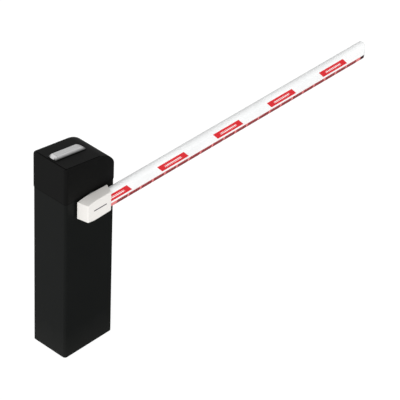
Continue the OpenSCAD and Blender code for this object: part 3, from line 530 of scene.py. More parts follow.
def frosted_lens(name, tone):
    """Frosted lens: a milky top with fine ribs along it, painted shade on its sides that deepens to near black
    towards the foot, a band of painted shade at the foot itself, and the thin rim of the reflector near its high end."""
    recipe = Recipe(name, roughness=0.34, coat=0.25)
    recipe.shader.inputs["Coat Roughness"].default_value = 0.25
    fall, level = math.sin(HOOD_TILT), math.cos(HOOD_TILT)
    height = recipe.x * fall + recipe.z * level
    base = (CAD_BOX[1].z - 0.012) * level - HOOD_HALF * fall
    lift = recipe.spread(height, base - 0.003, base + 0.012)
    ribs = (recipe.y * (2 * math.pi / 0.0028)).sine()
    side = recipe.spread(abs(recipe.y), 0.0080, 0.0140, 0.0, 1.0)
    along = recipe.x * (1 / level) + HOOD_HALF
    body = recipe.mix(tone, shade(tone, 0.84), abs(recipe.y.folded(0.0045)) < 0.0007)
    rim = (abs(along - 0.0335) < 0.0009) * (abs(recipe.y) < 0.0195)
    body = recipe.mix(body, shade(tone, 0.42), rim)
    milk = recipe.mix(body, shade(tone, 1.07), recipe.noise(30.0, 3.0) * 0.4)
    # The mask named clear holds painted shade, not clear plastic: the lens's sides darken to 4% of its tone, most
    # towards the foot.
    clear = side * recipe.spread(height, base + 0.0035, base + 0.0125, 1.0, 0.1)
    milk = recipe.mix(milk, shade(tone, 0.04), clear)
    # Painted shade at the foot: the lowest part of the lens goes to half its tone where it meets the hood.
    milk = recipe.mix(shade(tone, 0.5), milk, recipe.spread(lift, 0.0, 0.2))
    return recipe.paint(milk, recipe.gloss(500.0, 0.3, 0.42, 0.2), ribs * 0.5 + 0.5, 0.2)


def reflector_film(name, tone):
    """Red film: a fine honeycomb under a clear skin, with a plain row of slanted white bars along its middle."""
    recipe = Recipe(name, roughness=0.3, coat=0.6)
    along = (recipe.x - MARK_X0).folded(MARK_PITCH)
    up = recipe.z - MARK_MID
    leaning = along + up * (MARK_LEAN / MARK_HIGH)
    bars = abs((leaning + up * 0.25).folded(0.0105)) < 0.0031
    band = (abs(up) < 0.0062) * (abs(leaning) < 0.052)
    comb = recipe.spread(recipe.cells(420.0, "DISTANCE_TO_EDGE"), 0.02, 0.12)
    red = recipe.mix(shade(tone, 0.86), tone, comb)
    red = recipe.mix(red, (0.92, 0.80, 0.80), bars * band)
    return recipe.paint(red, recipe.spread(recipe.noise(60.0, 3.0), 0.3, 0.7, 0.26, 0.36), comb, 0.06, 0.0001)


def strip_plastic(name, tone):
    """Tinted clear plastic of the light strip, its tone changing slowly at random."""
    recipe = Recipe(name, roughness=0.3, coat=0.3)
    cloud = recipe.noise(25.0, 3.0)
    body = recipe.mix(shade(tone, 0.88), shade(tone, 1.08), cloud)
    lines = (recipe.x * (2 * math.pi / 0.006)).sine()
    return recipe.paint(body, recipe.spread(cloud, 0.2, 0.8, 0.26, 0.38), lines * 0.5 + 0.5, 0.08, 0.0001)


def light_segment(name, tone):
    """Unlit light segment: dark red, clear on top, with the lighter spots of its diodes in a row."""
    recipe = Recipe(name, roughness=0.22, coat=0.5)
    along = recipe.x.folded(0.011)
    spot = recipe.spread(abs(along), 0.0012, 0.0030, 1.0, 0.0)
    body = recipe.mix(shade(tone, 0.85), shade(tone, 1.5), spot * recipe.noise(90.0, 2.0))
    return recipe.paint(body, recipe.gloss(200.0, 0.18, 0.3), spot, 0.1, 0.0002)


def circuit(name, tone):
    """Circuit board: solder mask over a maze of tracks, with tinned pads."""
    recipe = Recipe(name, roughness=0.35, coat=0.2)
    tracks = recipe.spread(recipe.cells(260.0, "DISTANCE_TO_EDGE", (1.0, 1.0, 0.35)), 0.03, 0.06)
    pads = recipe.cells(330.0) < 0.16
    board = recipe.mix(shade(tone, 1.7), tone, tracks)
    board = recipe.mix(board, (0.55, 0.55, 0.52), pads)
    return recipe.paint(board, recipe.gloss(300.0, 0.3, 0.42), tracks, 0.15, 0.0001)


def laminated_core(name, tone):
    """Varnished steel sheets stacked edge on, with slow changes of tone."""
    recipe = Recipe(name, roughness=0.45)
    sheets = (recipe.y * (2 * math.pi / 0.0012)).sine() * 0.5 + 0.5
    body = recipe.mix(shade(tone, 0.6), shade(tone, 1.4), sheets * 0.7 + recipe.noise(50.0, 3.0) * 0.3)
    return recipe.paint(body, recipe.gloss(160.0, 0.38, 0.55), sheets, 0.4, 0.0002)


def floor_finish(name, tone):
    """Pale seamless floor, lit a little from within so that it stays as light as the backdrop."""
    recipe = Recipe(name, roughness=0.9, specular=0.0)
    recipe.shader.inputs["Emission Color"].default_value = (1.0, 1.0, 1.0, 1.0)
    recipe.shader.inputs["Emission Strength"].default_value = 0.88
    return recipe.paint(recipe.mix(shade(tone, 0.995), shade(tone, 1.005), recipe.noise(3.0, 3.0)))


FINISHES = {
    "cabinet_paint": (powder_coat, "cabinet", {"specular": 0.09, "roughness": 0.52, "dust": 0.05}),
    # seam paints near-black shade into the groove of the hood's lid seam.
    "hood_paint": (powder_coat, "hood", {"specular": 0.08, "roughness": 0.52, "seam": True}),
    "boom_white": (powder_coat, "boom", {"roughness": 0.36, "grain": 420.0, "strength": 0.12}),
    "grey_paint": (powder_coat, (0.22, 0.235, 0.235), {}),
    "dark_paint": (powder_coat, (0.055, 0.062, 0.062), {"roughness": 0.45}),
    # Near-black rubber for the seals, darker than the black rubber: it paints the shadow lines under the hood's rim
    # and round the lens.
    "seal_rubber": (powder_coat, (0.0012, 0.0012, 0.0012), {"specular": 0.04, "roughness": 0.8, "grain": 400.0}),
    "plain_steel": (worked_metal, (0.56, 0.57, 0.58), {"roughness": 0.28}),
    "zinc_steel": (worked_metal, (0.5, 0.52, 0.53), {"roughness": 0.38, "spangle": 0.35}),
    "brass": (worked_metal, (0.62, 0.45, 0.2), {"roughness": 0.3}),
    "black_rubber": (rubber, (0.012, 0.012, 0.012), {}),
    "lens_plastic": (frosted_lens, "lens", {}),
    "cover_plastic": (moulded, "cover", {"roughness": 0.42, "specular": 0.4, "spread": 0.02}),
    "cap_plastic": (moulded, (0.62, 0.63, 0.63), {"roughness": 0.4}),
    "light_plastic": (moulded, (0.5, 0.52, 0.51), {}),
    "dark_plastic": (moulded, (0.03, 0.032, 0.034), {}),
    "red_plastic": (moulded, (0.5, 0.06, 0.03), {"roughness": 0.35}),
    "strip_plastic": (strip_plastic, "strip", {}),
    "strip_end": (moulded, (0.035, 0.006, 0.008), {"roughness": 0.35}),
    "segment_red": (light_segment, "segment", {}),
    "mark_red": (reflector_film, "film", {}),
    "plate_ink": (moulded, "plate", {"roughness": 0.4}),
    "circuit_green": (circuit, (0.02, 0.13, 0.05), {}),
    "core_steel": (laminated_core, (0.11, 0.085, 0.06), {}),
}


def finish(slot):
    """The material of a slot, made the first time it is asked for."""
    name = "finish_" + slot
    made = bpy.data.materials.get(name)
    if made:
        return made
    maker, tone, options = FINISHES[slot]
    if isinstance(tone, str):
        tone = tuple(getattr(bpy.context.scene.barrier_colours, tone))
    return maker(name, tone, **options)


# ---- sizes of the frame and of the pieces' fixed shapes, in metres ----

HOOD_LOW, HOOD_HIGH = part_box("hood_shell")
HOOD_HALF = (HOOD_HIGH.x - HOOD_LOW.x) / 2
HOOD_SIDE = (HOOD_HIGH.y - HOOD_LOW.y) / 2
HOOD_TILT = math.radians(8.5)
HOOD_CORNER = 0.0165
HOOD_REAR = 0.020
HOOD_WALL = 0.002
NOSE_R = 0.110
SEAM_IN = 0.0030
SEAM_STEPS = np.array([0, 0.25, 0.75, 1])
LENS_LOW, LENS_HIGH, LENS_WIDE = 0.017, 0.205, 0.024
LENS_TOP = (0.031, 0.175, 0.011)
LENS_ROUND = 0.006
SLOT_RUN = np.array([0.025, 0.189])
SLOT_HALF = 0.0149
LID_LOW = 0.95

PIVOT_Z = 0.808
TUBE_LOW, TUBE_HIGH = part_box("boom_tube")
CAP_LOW, CAP_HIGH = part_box("boom_end_cap")
BOOM_Y = (TUBE_LOW.y + TUBE_HIGH.y) / 2
BOOM_R = (TUBE_HIGH.y - TUBE_LOW.y) / 2
BOOM_HALF = TUBE_HIGH.z - PIVOT_Z
BOOM_WALL = 0.0025
STRIP_TOP = TUBE_LOW.z

MARK_X0 = 0.098
MARK_PITCH = 0.361
MARK_LENGTH = 0.170
MARK_HIGH = 0.038
MARK_LEAN = 0.034
MARK_FOOT = STRIP_TOP + 0.011
MARK_MID = MARK_FOOT + MARK_HIGH / 2
MARK_SKIN = 0.00005
MARK_FILM = 0.0004
SEGMENT_X0 = 0.101
SEGMENT_PITCH = 0.077
SEGMENT_GAP = 0.011
SEGMENT_LONG = SEGMENT_PITCH - SEGMENT_GAP
SEGMENT_THICK = 0.0006
LIGHT_COUNT = int((TUBE_HIGH.x - SEGMENT_X0) / SEGMENT_PITCH)
MARK_COUNT = 1 + int((CAP_HIGH.x - MARK_LENGTH / 2 - MARK_LEAN - MARK_X0) / MARK_PITCH)

COVER_SINK = 0.0003
COVER_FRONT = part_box("boom_cover")[0].y + COVER_SINK
COVER_BACK = -0.1112
COVER_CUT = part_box("boom_cover")[1].y
COVER_X = (-0.0775, 0.0625)
COVER_DRAFT = (0.21, 0.5)
COVER_WALL = 0.0024
COVER_END = BOOM_HALF - 0.002
COVER_FULL = BOOM_HALF + 0.0048
HAIR = 1e-6

PIN = (-0.0495, -0.035, 0.8575)
SPRING_FOOT = 0.380
SPRING_R = 0.020
SPRING_TOP = PIN[2] - 0.075

FLOOR = 16.0
CAMERA_LENS = 239.685
CAMERA_PLACE = (-6.60206, -6.67528, 7.74710)
CAMERA_AXES = (
    (0.68680849, -0.72600754, 0.03474403),
    (0.41414519, 0.43017207, 0.80214447),
    (-0.59730884, -0.53653056, 0.59611837),
)


# ---- shapes of single pieces ----


def hood_surface(inset, edge, groove_width, groove_depth):
    """Points of the hood, as sections square to its length, and which of its faces there are.

    A section runs up the boom's side, round a small fold, across the lid and down over the wide rear curve. Its
    half width narrows at both ends by a quarter circle, which makes the upright corners. The lid's height falls on
    a straight slope and then on the nose's circle, the rear curve follows both and tightens towards the nose's end,
    and the seam is a flat-bottomed dip near two of the lid's edges."""
    tilt = HOOD_TILT
    end, side = HOOD_HALF - inset, HOOD_SIDE - inset
    corner, nose, rear = HOOD_CORNER - inset, NOSE_R - inset, HOOD_REAR - inset
    nose_x = HOOD_HALF - NOSE_R
    slope_z = HOOD_HIGH.z - math.tan(tilt) * (nose_x + HOOD_HALF)
    nose_z = slope_z - NOSE_R / math.cos(tilt)
    top = HOOD_HIGH.z - inset / math.cos(tilt) - math.tan(tilt) * inset

    a = np.radians(np.linspace(0, 90, 13))
    first = -HOOD_HALF + HOOD_CORNER * (1 - np.cos(a))
    seam = SEAM_STEPS * groove_width - HOOD_HALF + SEAM_IN
    slot = -HOOD_HALF + SLOT_RUN * math.cos(tilt)
    bend = nose_x + NOSE_R * np.cos(np.radians(np.linspace(81.5, 36, 15)))
    x = np.unique(np.round(np.concatenate([first, -first, seam, slot, bend, [-0.06, 0.0]]), 7))
    x = x[np.concatenate([[True], np.diff(x) > 2e-5])] * end / HOOD_HALF

    def plane(at):
        return top - math.tan(tilt) * (at + end)

    on_nose = nose_z + np.sqrt(np.maximum(nose**2 - (x - nose_x) ** 2, 0))
    lid = np.where(x < nose_x + nose * math.sin(tilt), plane(x), on_nose)
    fold = np.clip(edge - (x + end), 0, edge)
    lid = lid - (edge - np.sqrt(edge**2 - fold**2))
    near_end = np.minimum(x + end, end - x)
    half = side - corner + np.sqrt(np.maximum(corner**2 - np.clip(corner - near_end, 0, corner) ** 2, 0))

    b = np.radians(np.linspace(0, 90, 6))
    wall = np.array([0.0, 0.02, 0.5, 0.98])
    y_fold, z_fold = -half[:, None] + edge * (1 - np.cos(b)), -edge * (1 - np.sin(b))
    seam_y = SEAM_IN + SEAM_STEPS * groove_width
    flat_y = np.array([-0.064, -0.045, -0.015, 0.015, 0.045, 0.064])
    c = np.radians(np.linspace(0, 90, 10))
    turn = np.minimum(rear, (end - x) * 0.62 + 0.0002)[:, None]
    y_rear = half[:, None] - turn + turn * np.sin(c)
    y_top = np.concatenate([-half[:, None] + seam_y, np.broadcast_to(flat_y, (len(x), 6)), y_rear], 1)

    drop = turn * (1 - np.cos(c))
    round_x = (x - nose_x)[:, None]
    curve = np.where(
        round_x < (nose - drop) * math.sin(tilt),
        plane(x)[:, None] - drop / math.cos(tilt),
        nose_z + np.sqrt(np.maximum((nose - drop) ** 2 - round_x**2, 0)),
    )
    curve = np.minimum(curve, lid[:, None])
    z_top = np.concatenate([np.repeat(lid[:, None], 10, 1), curve], 1)
    along_y = np.interp(y_top + half[:, None], seam_y, [0, 1, 1, 0], 0, 0)
    along_y = along_y * (x[:, None] > -HOOD_HALF + SEAM_IN)
    along_x = np.interp(x, seam, [0, 1, 1, 0], 0, 0)[:, None]
    across = (y_top + half[:, None] > SEAM_IN - 0.0001) & (y_top < side - rear * 0.8)
    fade = np.clip((nose_x + 0.024 - x) / 0.012, 0, 1)[:, None]
    z_top = z_top - groove_depth * np.maximum(along_y * fade, along_x * across)

    y = np.concatenate([np.repeat(-half[:, None], 4, 1), y_fold, y_top, np.repeat(half[:, None], 4, 1)], 1)
    z_left = HOOD_LOW.z + (lid[:, None] - edge - HOOD_LOW.z) * wall
    z_right = HOOD_LOW.z + (z_top[:, -1:] - HOOD_LOW.z) * wall[::-1]
    z = np.concatenate([z_left, lid[:, None] + z_fold, z_top, z_right], 1)
    points = np.stack([np.broadcast_to(x[:, None], y.shape), y, z], -1)
    faces = grid_faces(*y.shape)
    mid_x, mid_y, mid_z = points.reshape(-1, 3)[faces].mean(1).T
    open_slot = (np.abs(mid_y) < SLOT_HALF) & (mid_x > slot[0]) & (mid_x < slot[1]) & (mid_z > LID_LOW)
    return points.reshape(-1, 3), face_list(faces[~open_slot], *end_rings(*y.shape))


def on_slope(along, across, up):
    """Places points given along the hood's slope, across it and square to it."""
    x = -HOOD_HALF + along * math.cos(HOOD_TILT) + up * math.sin(HOOD_TILT)
    z = HOOD_HIGH.z - along * math.sin(HOOD_TILT) + up * math.cos(HOOD_TILT)
    return np.stack([x, across, z], -1)


def lens_surface(inset):
    """Points of the lamp's lens: rounded rectangles stacked along its height. The base ones have a corner radius
    of 8 mm, and the top ones shrink as the cosine of an angle while they rise as its sine, which rounds the
    shoulder."""
    angles = np.radians(np.linspace(38, 90, 8))
    shoulder = LENS_ROUND - inset
    foot = (LENS_LOW, LENS_HIGH, LENS_WIDE)
    sections = [
        (-inset, foot, 0.00005 - (0.0001 if inset else 0), 0.008),
        (-inset, foot, 0.0026, 0.008),
        (-inset - 0.0005, foot, 0.0033, 0.008),
    ]
    sections += [(shoulder * math.cos(a), LENS_TOP, 0.011 + shoulder * math.sin(a), 0.0) for a in angles]
    rings = []
    for grow, (low, high, wide), up, radius in sections:
        low, high, wide = low - grow, high + grow, wide + grow
        outline = rounded_box((low, -wide), (high, wide), max(radius + grow, 0.0012), 9)
        rings.append(on_slope(outline[:, 0], outline[:, 1], np.full(len(outline), up)))
    return np.array(rings)


def lens_shell():
    """The lens as one wall: an outer and an inner stack of rings, closed on top and joined round the foot."""
    outer, inner = lens_surface(0.0), lens_surface(0.002)
    rows, columns = outer.shape[:2]
    faces = face_list(grid_faces(rows, columns, wrap_columns=True), np.arange(columns) + (rows - 1) * columns)
    faces = outward(outer.reshape(-1, 3), faces)
    return double_wall(outer.reshape(-1, 3), inner.reshape(-1, 3), faces)


def cover_ring(u, inset):
    """One open section of the boom's cover. It is a rounded box whose height grows as a sine from the closed end
    and whose corners grow as the power 1.6 of the way along; it is cut off short of its back."""
    high = COVER_END + (COVER_FULL - COVER_END) * np.sin(np.pi / 2 * np.clip(u / 0.4, 0, 1)) - inset
    radius = np.maximum(0.003 + 0.006 * np.clip(u, 0, None) ** 1.6 - inset, 0.0006)
    front, back = COVER_FRONT + inset, COVER_BACK
    start = np.arccos(np.clip((COVER_CUT - back + radius) / radius, 0, 1))
    t = np.linspace(0, 1, 10)
    quarter = np.pi / 2 * t
    first = start + (np.pi / 2 - start) * t
    y = np.concatenate(
        [back - radius + radius * np.cos(first), front + radius - radius * np.sin(quarter)]
        + [front + radius - radius * np.cos(quarter), back - radius + radius * np.cos(first[::-1])]
    )
    z = np.concatenate(
        [high - radius + radius * np.sin(first), high - radius + radius * np.cos(quarter)]
        + [-high + radius - radius * np.sin(quarter), -high + radius - radius * np.sin(first[::-1])]
    )
    return y, z


def cover_surface(inset, x_low, x_high, edge, count=40):
    """The cover's sections in a row. Each end leans back by its draft, and the closed end's rim is a quarter
    circle of the edge's radius, by which the section shrinks while it moves on."""
    a = np.linspace(0, np.pi / 2, 6)[:-1]
    u = np.concatenate([np.zeros(5), np.linspace(0, 1, count)])
    extra = np.concatenate([edge * (1 - np.sin(a)), np.zeros(count)])
    shift = np.concatenate([edge * (1 - np.cos(a)), np.full(count, edge)]) * np.clip(1 - u * 6, 0, 1)
    rings = []
    for at, more, on in zip(u, extra, shift):
        y, z = cover_ring(at, inset)
        middle = 0.5 * (COVER_FRONT + COVER_CUT)
        y = np.clip(y + more * np.sign(middle - y) * (y < middle), COVER_FRONT + inset + more, COVER_CUT)
        z = z - more * np.sign(z) * np.clip(np.abs(z) / (COVER_END - 0.006), 0, 1) ** 8
        left = x_low - COVER_DRAFT[0] * (y - COVER_FRONT)
        right = x_high + COVER_DRAFT[1] * (y - COVER_FRONT)
        rings.append(np.stack([left + (right - left) * at + on, y, PIVOT_Z + z], -1))
    return np.array(rings)


def cover_shell(edge):
    """The cover as one wall, open at the back and where the boom leaves it."""
    outer = cover_surface(0.0, *COVER_X, edge)
    inner = cover_surface(COVER_WALL, COVER_X[0] + COVER_WALL, COVER_X[1], edge)
    rows, columns = outer.shape[:2]
    faces = outward(outer.reshape(-1, 3), face_list(grid_faces(rows, columns), np.arange(columns)[::-1]))
    return double_wall(outer.reshape(-1, 3), inner.reshape(-1, 3), faces)


def boom_outline():
    """The boom's full section: flat sides between two half circles, as (y, z)."""
    return rounded_box((-BOOM_R, -BOOM_HALF), (BOOM_R, BOOM_HALF), BOOM_R - HAIR, 21) + (BOOM_Y, PIVOT_Z)


def boom_side(z):
    """How far the boom's front stands from its middle at a height: the radius on the flat, the circle above it."""
    over = np.clip(np.abs(z - PIVOT_Z) - (BOOM_HALF - BOOM_R), 0, BOOM_R)
    return np.sqrt(np.maximum(BOOM_R**2 - over**2, 0))


def skin_patch(x, z, low, high):
    """A patch of film on the boom's front, between two distances from it. Its points follow the boom's section,
    and stand off square to it."""
    over = np.sign(z - PIVOT_Z) * np.clip(np.abs(z - PIVOT_Z) - (BOOM_HALF - BOOM_R), 0, BOOM_R)
    out = np.stack([np.zeros_like(z), -boom_side(z) / BOOM_R, over / BOOM_R], -1)
    on = np.stack([x, BOOM_Y - boom_side(z), z], -1)
    rows, columns = x.shape
    faces = outward_front(on.reshape(-1, 3), grid_faces(rows, columns).tolist())
    return double_wall((on + high * out).reshape(-1, 3), (on + low * out).reshape(-1, 3), faces)


def outward_front(points, faces):
    """The faces turned so that the first one looks towards the boom's front."""
    a, b, c = (points[k] for k in faces[0][:3])
    return faces if np.cross(b - a, c - a)[1] < 0 else [f[::-1] for f in faces]


def mark_shell(number):
    """One reflector: a leaning four-sided film. Its left end leans with its height, or stops at the clamp nut."""
    share, up = np.meshgrid(np.linspace(0, 1, 15), np.linspace(0, 1, 11))
    lean = MARK_X0 + number * MARK_PITCH + MARK_LEAN * (0.5 - up)
    left = np.maximum(lean - MARK_LENGTH / 2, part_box("clamp_fasteners")[1].x + 0.0012)
    x = left + share * (lean + MARK_LENGTH / 2 - left)
    return skin_patch(x, MARK_FOOT + MARK_HIGH * up, MARK_SKIN, MARK_SKIN + MARK_FILM)


def segment_start(number):
    """Where a light segment starts along the boom."""
    return SEGMENT_X0 + number * SEGMENT_PITCH + SEGMENT_GAP / 2


def segment_shell(number):
    """One light segment: a strip of skin from the boom's side round to its underside, lower along its rim."""
    ease = np.array([0.0, 0.0003, 0.001])
    along = np.concatenate([ease, SEGMENT_LONG - ease[::-1]])
    flat = np.array([0.0, 0.0003, 0.001, 0.004]) + 0.001
    under = np.radians(np.linspace(0, math.degrees(math.acos(0.006 / BOOM_R)), 9))
    down = np.concatenate([STRIP_TOP - flat, PIVOT_Z - (BOOM_HALF - BOOM_R) - BOOM_R * np.sin(under)])
    x, z = np.meshgrid(segment_start(number) + along, down)
    rim = [0.3, 0.8]
    rise = np.minimum(np.array([*rim, 1, 1, *rim[::-1]])[None], np.array([*rim, *[1] * 9, *rim[::-1]])[:, None])
    return skin_patch(x, z, MARK_SKIN, MARK_SKIN + SEGMENT_THICK * rise[:, :, None])


def strip_shell(low, high, rib, inset=0.0):
    """The light strip: a hollow bar under the boom's profile. Its outside dips as a cosine along the section, which
    makes fine ribs along it."""
    side, floor_z = BOOM_R - inset, PIVOT_Z - BOOM_HALF + inset
    top = STRIP_TOP - 0.00005 - inset
    lip = [0.0006, 0.0006]
    outer = rounded_box((side, top), (-side, floor_z), lip + [side - HAIR] * 2, 64)
    dip = 0.5 - 0.5 * np.cos(2 * np.pi * np.arange(len(outer)) / 6)
    dip = dip * rib * (outer[:, 1] < PIVOT_Z - BOOM_HALF + BOOM_R)
    turn = -np.sign(np.cross(outer[0] - outer[70], outer[1] - outer[70]))
    outer = outer + outline_normals(outer) * dip[:, None] * turn
    wall = side - 0.003
    inner = rounded_box((wall, top - 0.004), (-wall, floor_z + 0.003), lip + [wall - HAIR] * 2, 64)
    rows = []
    for section in (outer, inner):
        flat = section + (BOOM_Y, 0)
        ends = [np.insert(flat, 0, x, axis=1) for x in (low, high)]
        rows.append(np.concatenate(ends))
    faces = outward(rows[0], grid_faces(2, len(outer), wrap_columns=True).tolist())
    return double_wall(rows[0], rows[1], faces)


# ---- one operator for each piece or group of like pieces ----


def new_light(name, direction, strength, angle):
    """A sun that shines from a direction given as azimuth and elevation, in degrees."""
    light = bpy.data.lights.new(name, "SUN")
    light.energy, light.angle = strength, math.radians(angle)
    lamp = bpy.data.objects.new(name, light)
    bpy.context.scene.collection.objects.link(lamp)
    azimuth, elevation = (math.radians(v) for v in direction)
    lamp.rotation_euler = (math.pi / 2 - elevation, 0.0, azimuth)
    return lamp


class BARRIER_OT_stage(bpy.types.Operator):
    """Make the floor, the soft light, the white surroundings and the camera"""

    bl_idname = "barrier.stage"
    bl_label = "Stage"

    def execute(self, context):
        scene = context.scene
        scene.view_settings.view_transform = "Standard"
        mesh = bpy.data.meshes.new("floor")
        corners = [(-FLOOR, -FLOOR, 0.0), (FLOOR, -FLOOR, 0.0), (FLOOR, FLOOR, 0.0), (-FLOOR, FLOOR, 0.0)]
        mesh.from_pydata(corners, [], [[0, 1, 2, 3]])
        floor = bpy.data.objects.new("floor", mesh)
        scene.collection.objects.link(floor)
        mesh.materials.append(floor_finish("finish_floor", tuple(scene.barrier_colours.floor)))
        floor.visible_glossy = False

        new_light("key", direction=(-49.0, 20.0), strength=1.85, angle=60.0)
        new_light("fill", direction=(150.0, 60.0), strength=0.28, angle=80.0).visible_glossy = False

        scene.world = bpy.data.worlds.new("surroundings")
        sky = NodeTree(scene.world)
        path = sky.add("ShaderNodeLightPath").outputs
        place = sky.add("ShaderNodeTexCoord").outputs["Generated"]
        axes = sky.add("ShaderNodeSeparateXYZ", None, {0: place}).outputs

        def slope_of(level, gains):
            """A strength that changes evenly with the direction, by a gain for each axis."""
            for axis, gain in zip(axes, gains):
                term = sky.add("ShaderNodeMath", {"operation": "MULTIPLY_ADD"}, {0: axis, 1: gain, 2: level})
                level = term.outputs[0]
            return level

        soft, glossy = slope_of(0.62, (-0.25, -0.25, 0.0)), slope_of(0.56, (-0.20, 0.20, 0.34))
        seen = sky.add("ShaderNodeMix", None, {0: path["Is Camera Ray"], 2: soft, 3: 1.0}).outputs[0]
        shown = sky.add("ShaderNodeMix", None, {0: path["Is Glossy Ray"], 2: seen, 3: glossy}).outputs[0]
        backdrop = sky.add("ShaderNodeBackground", None, {"Strength": shown, "Color": (1.0, 1.0, 1.0, 1.0)})
        sky.add("ShaderNodeOutputWorld", None, {0: backdrop.outputs[0]})

        lens = bpy.data.cameras.new("camera")
        lens.lens, lens.sensor_width = CAMERA_LENS, 36.0
        lens.clip_start, lens.clip_end = 0.1, 60.0
        camera = bpy.data.objects.new("camera", lens)
        scene.collection.objects.link(camera)
        camera.matrix_world = Matrix.Translation(CAMERA_PLACE) @ Matrix(CAMERA_AXES).transposed().to_4x4()
        scene.camera = camera
        return {"FINISHED"}


def make_seal(name, shell):
    """A rubber seal or gasket on the cabinet, from the shell of a closed tube; its near-black rubber paints a shadow
    line.
    """
    make_piece(name, shell, "cabinet", "black_rubber", material="seal_rubber", sharp=80.0, weighted=False)


class BARRIER_OT_hood(bpy.types.Operator):
    """Make the hood with its folded edges, the lid's seam, the slot for the lamp and the seal under its rim,
    whose near-black rubber paints the shadow line below the rim
    """

    bl_idname = "barrier.hood"
    bl_label = "Hood"

    def execute(self, context):
        sizes = context.scene.barrier_sizes
        outer, faces = hood_surface(0.0, sizes.hood_edge, sizes.groove_width, sizes.groove_depth)
        inner, _ = hood_surface(HOOD_WALL, max(sizes.hood_edge - HOOD_WALL, 0.0004), sizes.groove_width, 0.0)
        shell = double_wall(outer, inner, outward(outer, faces))
        make_piece("hood", shell, "cabinet", "cabinet_paint", ["hood_shell"], material="hood_paint", sharp=28.0)
        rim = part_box("cabinet_shell")[1]
        ring = rounded_box((-rim.x, -rim.y), (rim.x, rim.y), HOOD_CORNER - 0.0025, 8)
        path = np.insert(ring, 2, HOOD_LOW.z - 0.0016, axis=1)
        # The seal's near-black rubber paints the thin shadow line under the hood's rim.
        make_seal("hood_seal", tube(path, 0.0021, (0.0, 0.0, 1.0), 8, closed=True))
        return {"FINISHED"}


class BARRIER_OT_lamp(bpy.types.Operator):
    """Make the lamp's frosted lens and the dark gasket round its foot, whose near-black rubber also paints the shadow
    line there
    """

    bl_idname = "barrier.lamp"
    bl_label = "Lamp"

    def execute(self, context):
        make_piece("lens", lens_shell(), "cabinet", "lens_plastic", ["lamp_lens"], sharp=50.0)
        gap = 0.0008
        low, high, wide = LENS_LOW - gap, LENS_HIGH + gap, LENS_WIDE + gap
        foot = rounded_box((low, -wide), (high, wide), 0.0088, 10)
        path = on_slope(foot[:, 0], foot[:, 1], np.full(len(foot), 0.0010))
        up = (math.sin(HOOD_TILT), 0.0, math.cos(HOOD_TILT))
        # The gasket's near-black rubber also paints the shadow line round the lens's foot.
        make_seal("lens_gasket", tube(path, 0.0014, up, 8, closed=True))
        return {"FINISHED"}


class BARRIER_OT_cover(bpy.types.Operator):
    """Make the moulded cover over the boom's bracket, with the blank plate on its front"""

    bl_idname = "barrier.cover"
    bl_label = "Boom cover"

    def execute(self, context):
        sizes = context.scene.barrier_sizes
        make_piece("cover", cover_shell(sizes.cover_edge), "boom", "cover_plastic", ["boom_cover"], sharp=40.0)
        half, high = sizes.plate_length / 2, sizes.plate_height / 2
        middle, height = -0.0027, PIVOT_Z + 0.0022
        outline = rounded_box((middle - half, height - high), (middle + half, height + high), high * 0.9, 8)
        plate = soft_bar(outline, COVER_FRONT - COVER_SINK, COVER_FRONT + 0.0006, 0.0002, axis=1)
        make_piece("blank_plate", plate, "boom", "dark_plastic", material="plate_ink")
        return {"FINISHED"}


class BARRIER_OT_boom(bpy.types.Operator):
    """Make the boom's profile and the cap on its tip"""

    bl_idname = "barrier.boom"
    bl_label = "Boom"

    def execute(self, context):
        side, inside, low = BOOM_R, BOOM_R - BOOM_WALL, STRIP_TOP - PIVOT_Z
        high, under = BOOM_HALF, BOOM_HALF - BOOM_WALL
        corners = [(-side, low), (-side, high), (side, high), (side, low)]
        corners += [(inside, low), (inside, under), (-inside, under), (-inside, low)]
        lip, round_out, round_in = 0.0005, side - HAIR, inside - HAIR
        radii = [lip, round_out, round_out, lip, lip, round_in, round_in, lip]
        section = rounded_outline(corners, radii, 17) + (BOOM_Y, PIVOT_Z)
        profile = soft_bar(section, TUBE_LOW.x, TUBE_HIGH.x, 0.0004)
        make_piece("boom_profile", profile, "boom", "boom_white", ["boom_tube"], sharp=40.0)
        rim = soft_bar(boom_outline(), TUBE_HIGH.x, CAP_HIGH.x, context.scene.barrier_sizes.cap_edge)
        room = inside - 0.0003
        plug = rounded_box((-room, low + 0.001), (room, high - 0.0028), [lip, lip, room - HAIR, room - HAIR], 13)
        plug = soft_bar(plug + (BOOM_Y, PIVOT_Z), CAP_LOW.x, TUBE_HIGH.x + 0.001, 0.001)
        make_piece("boom_cap", join_shells(rim, plug), "boom", "cap_plastic", ["boom_end_cap"], sharp=40.0)
        return {"FINISHED"}


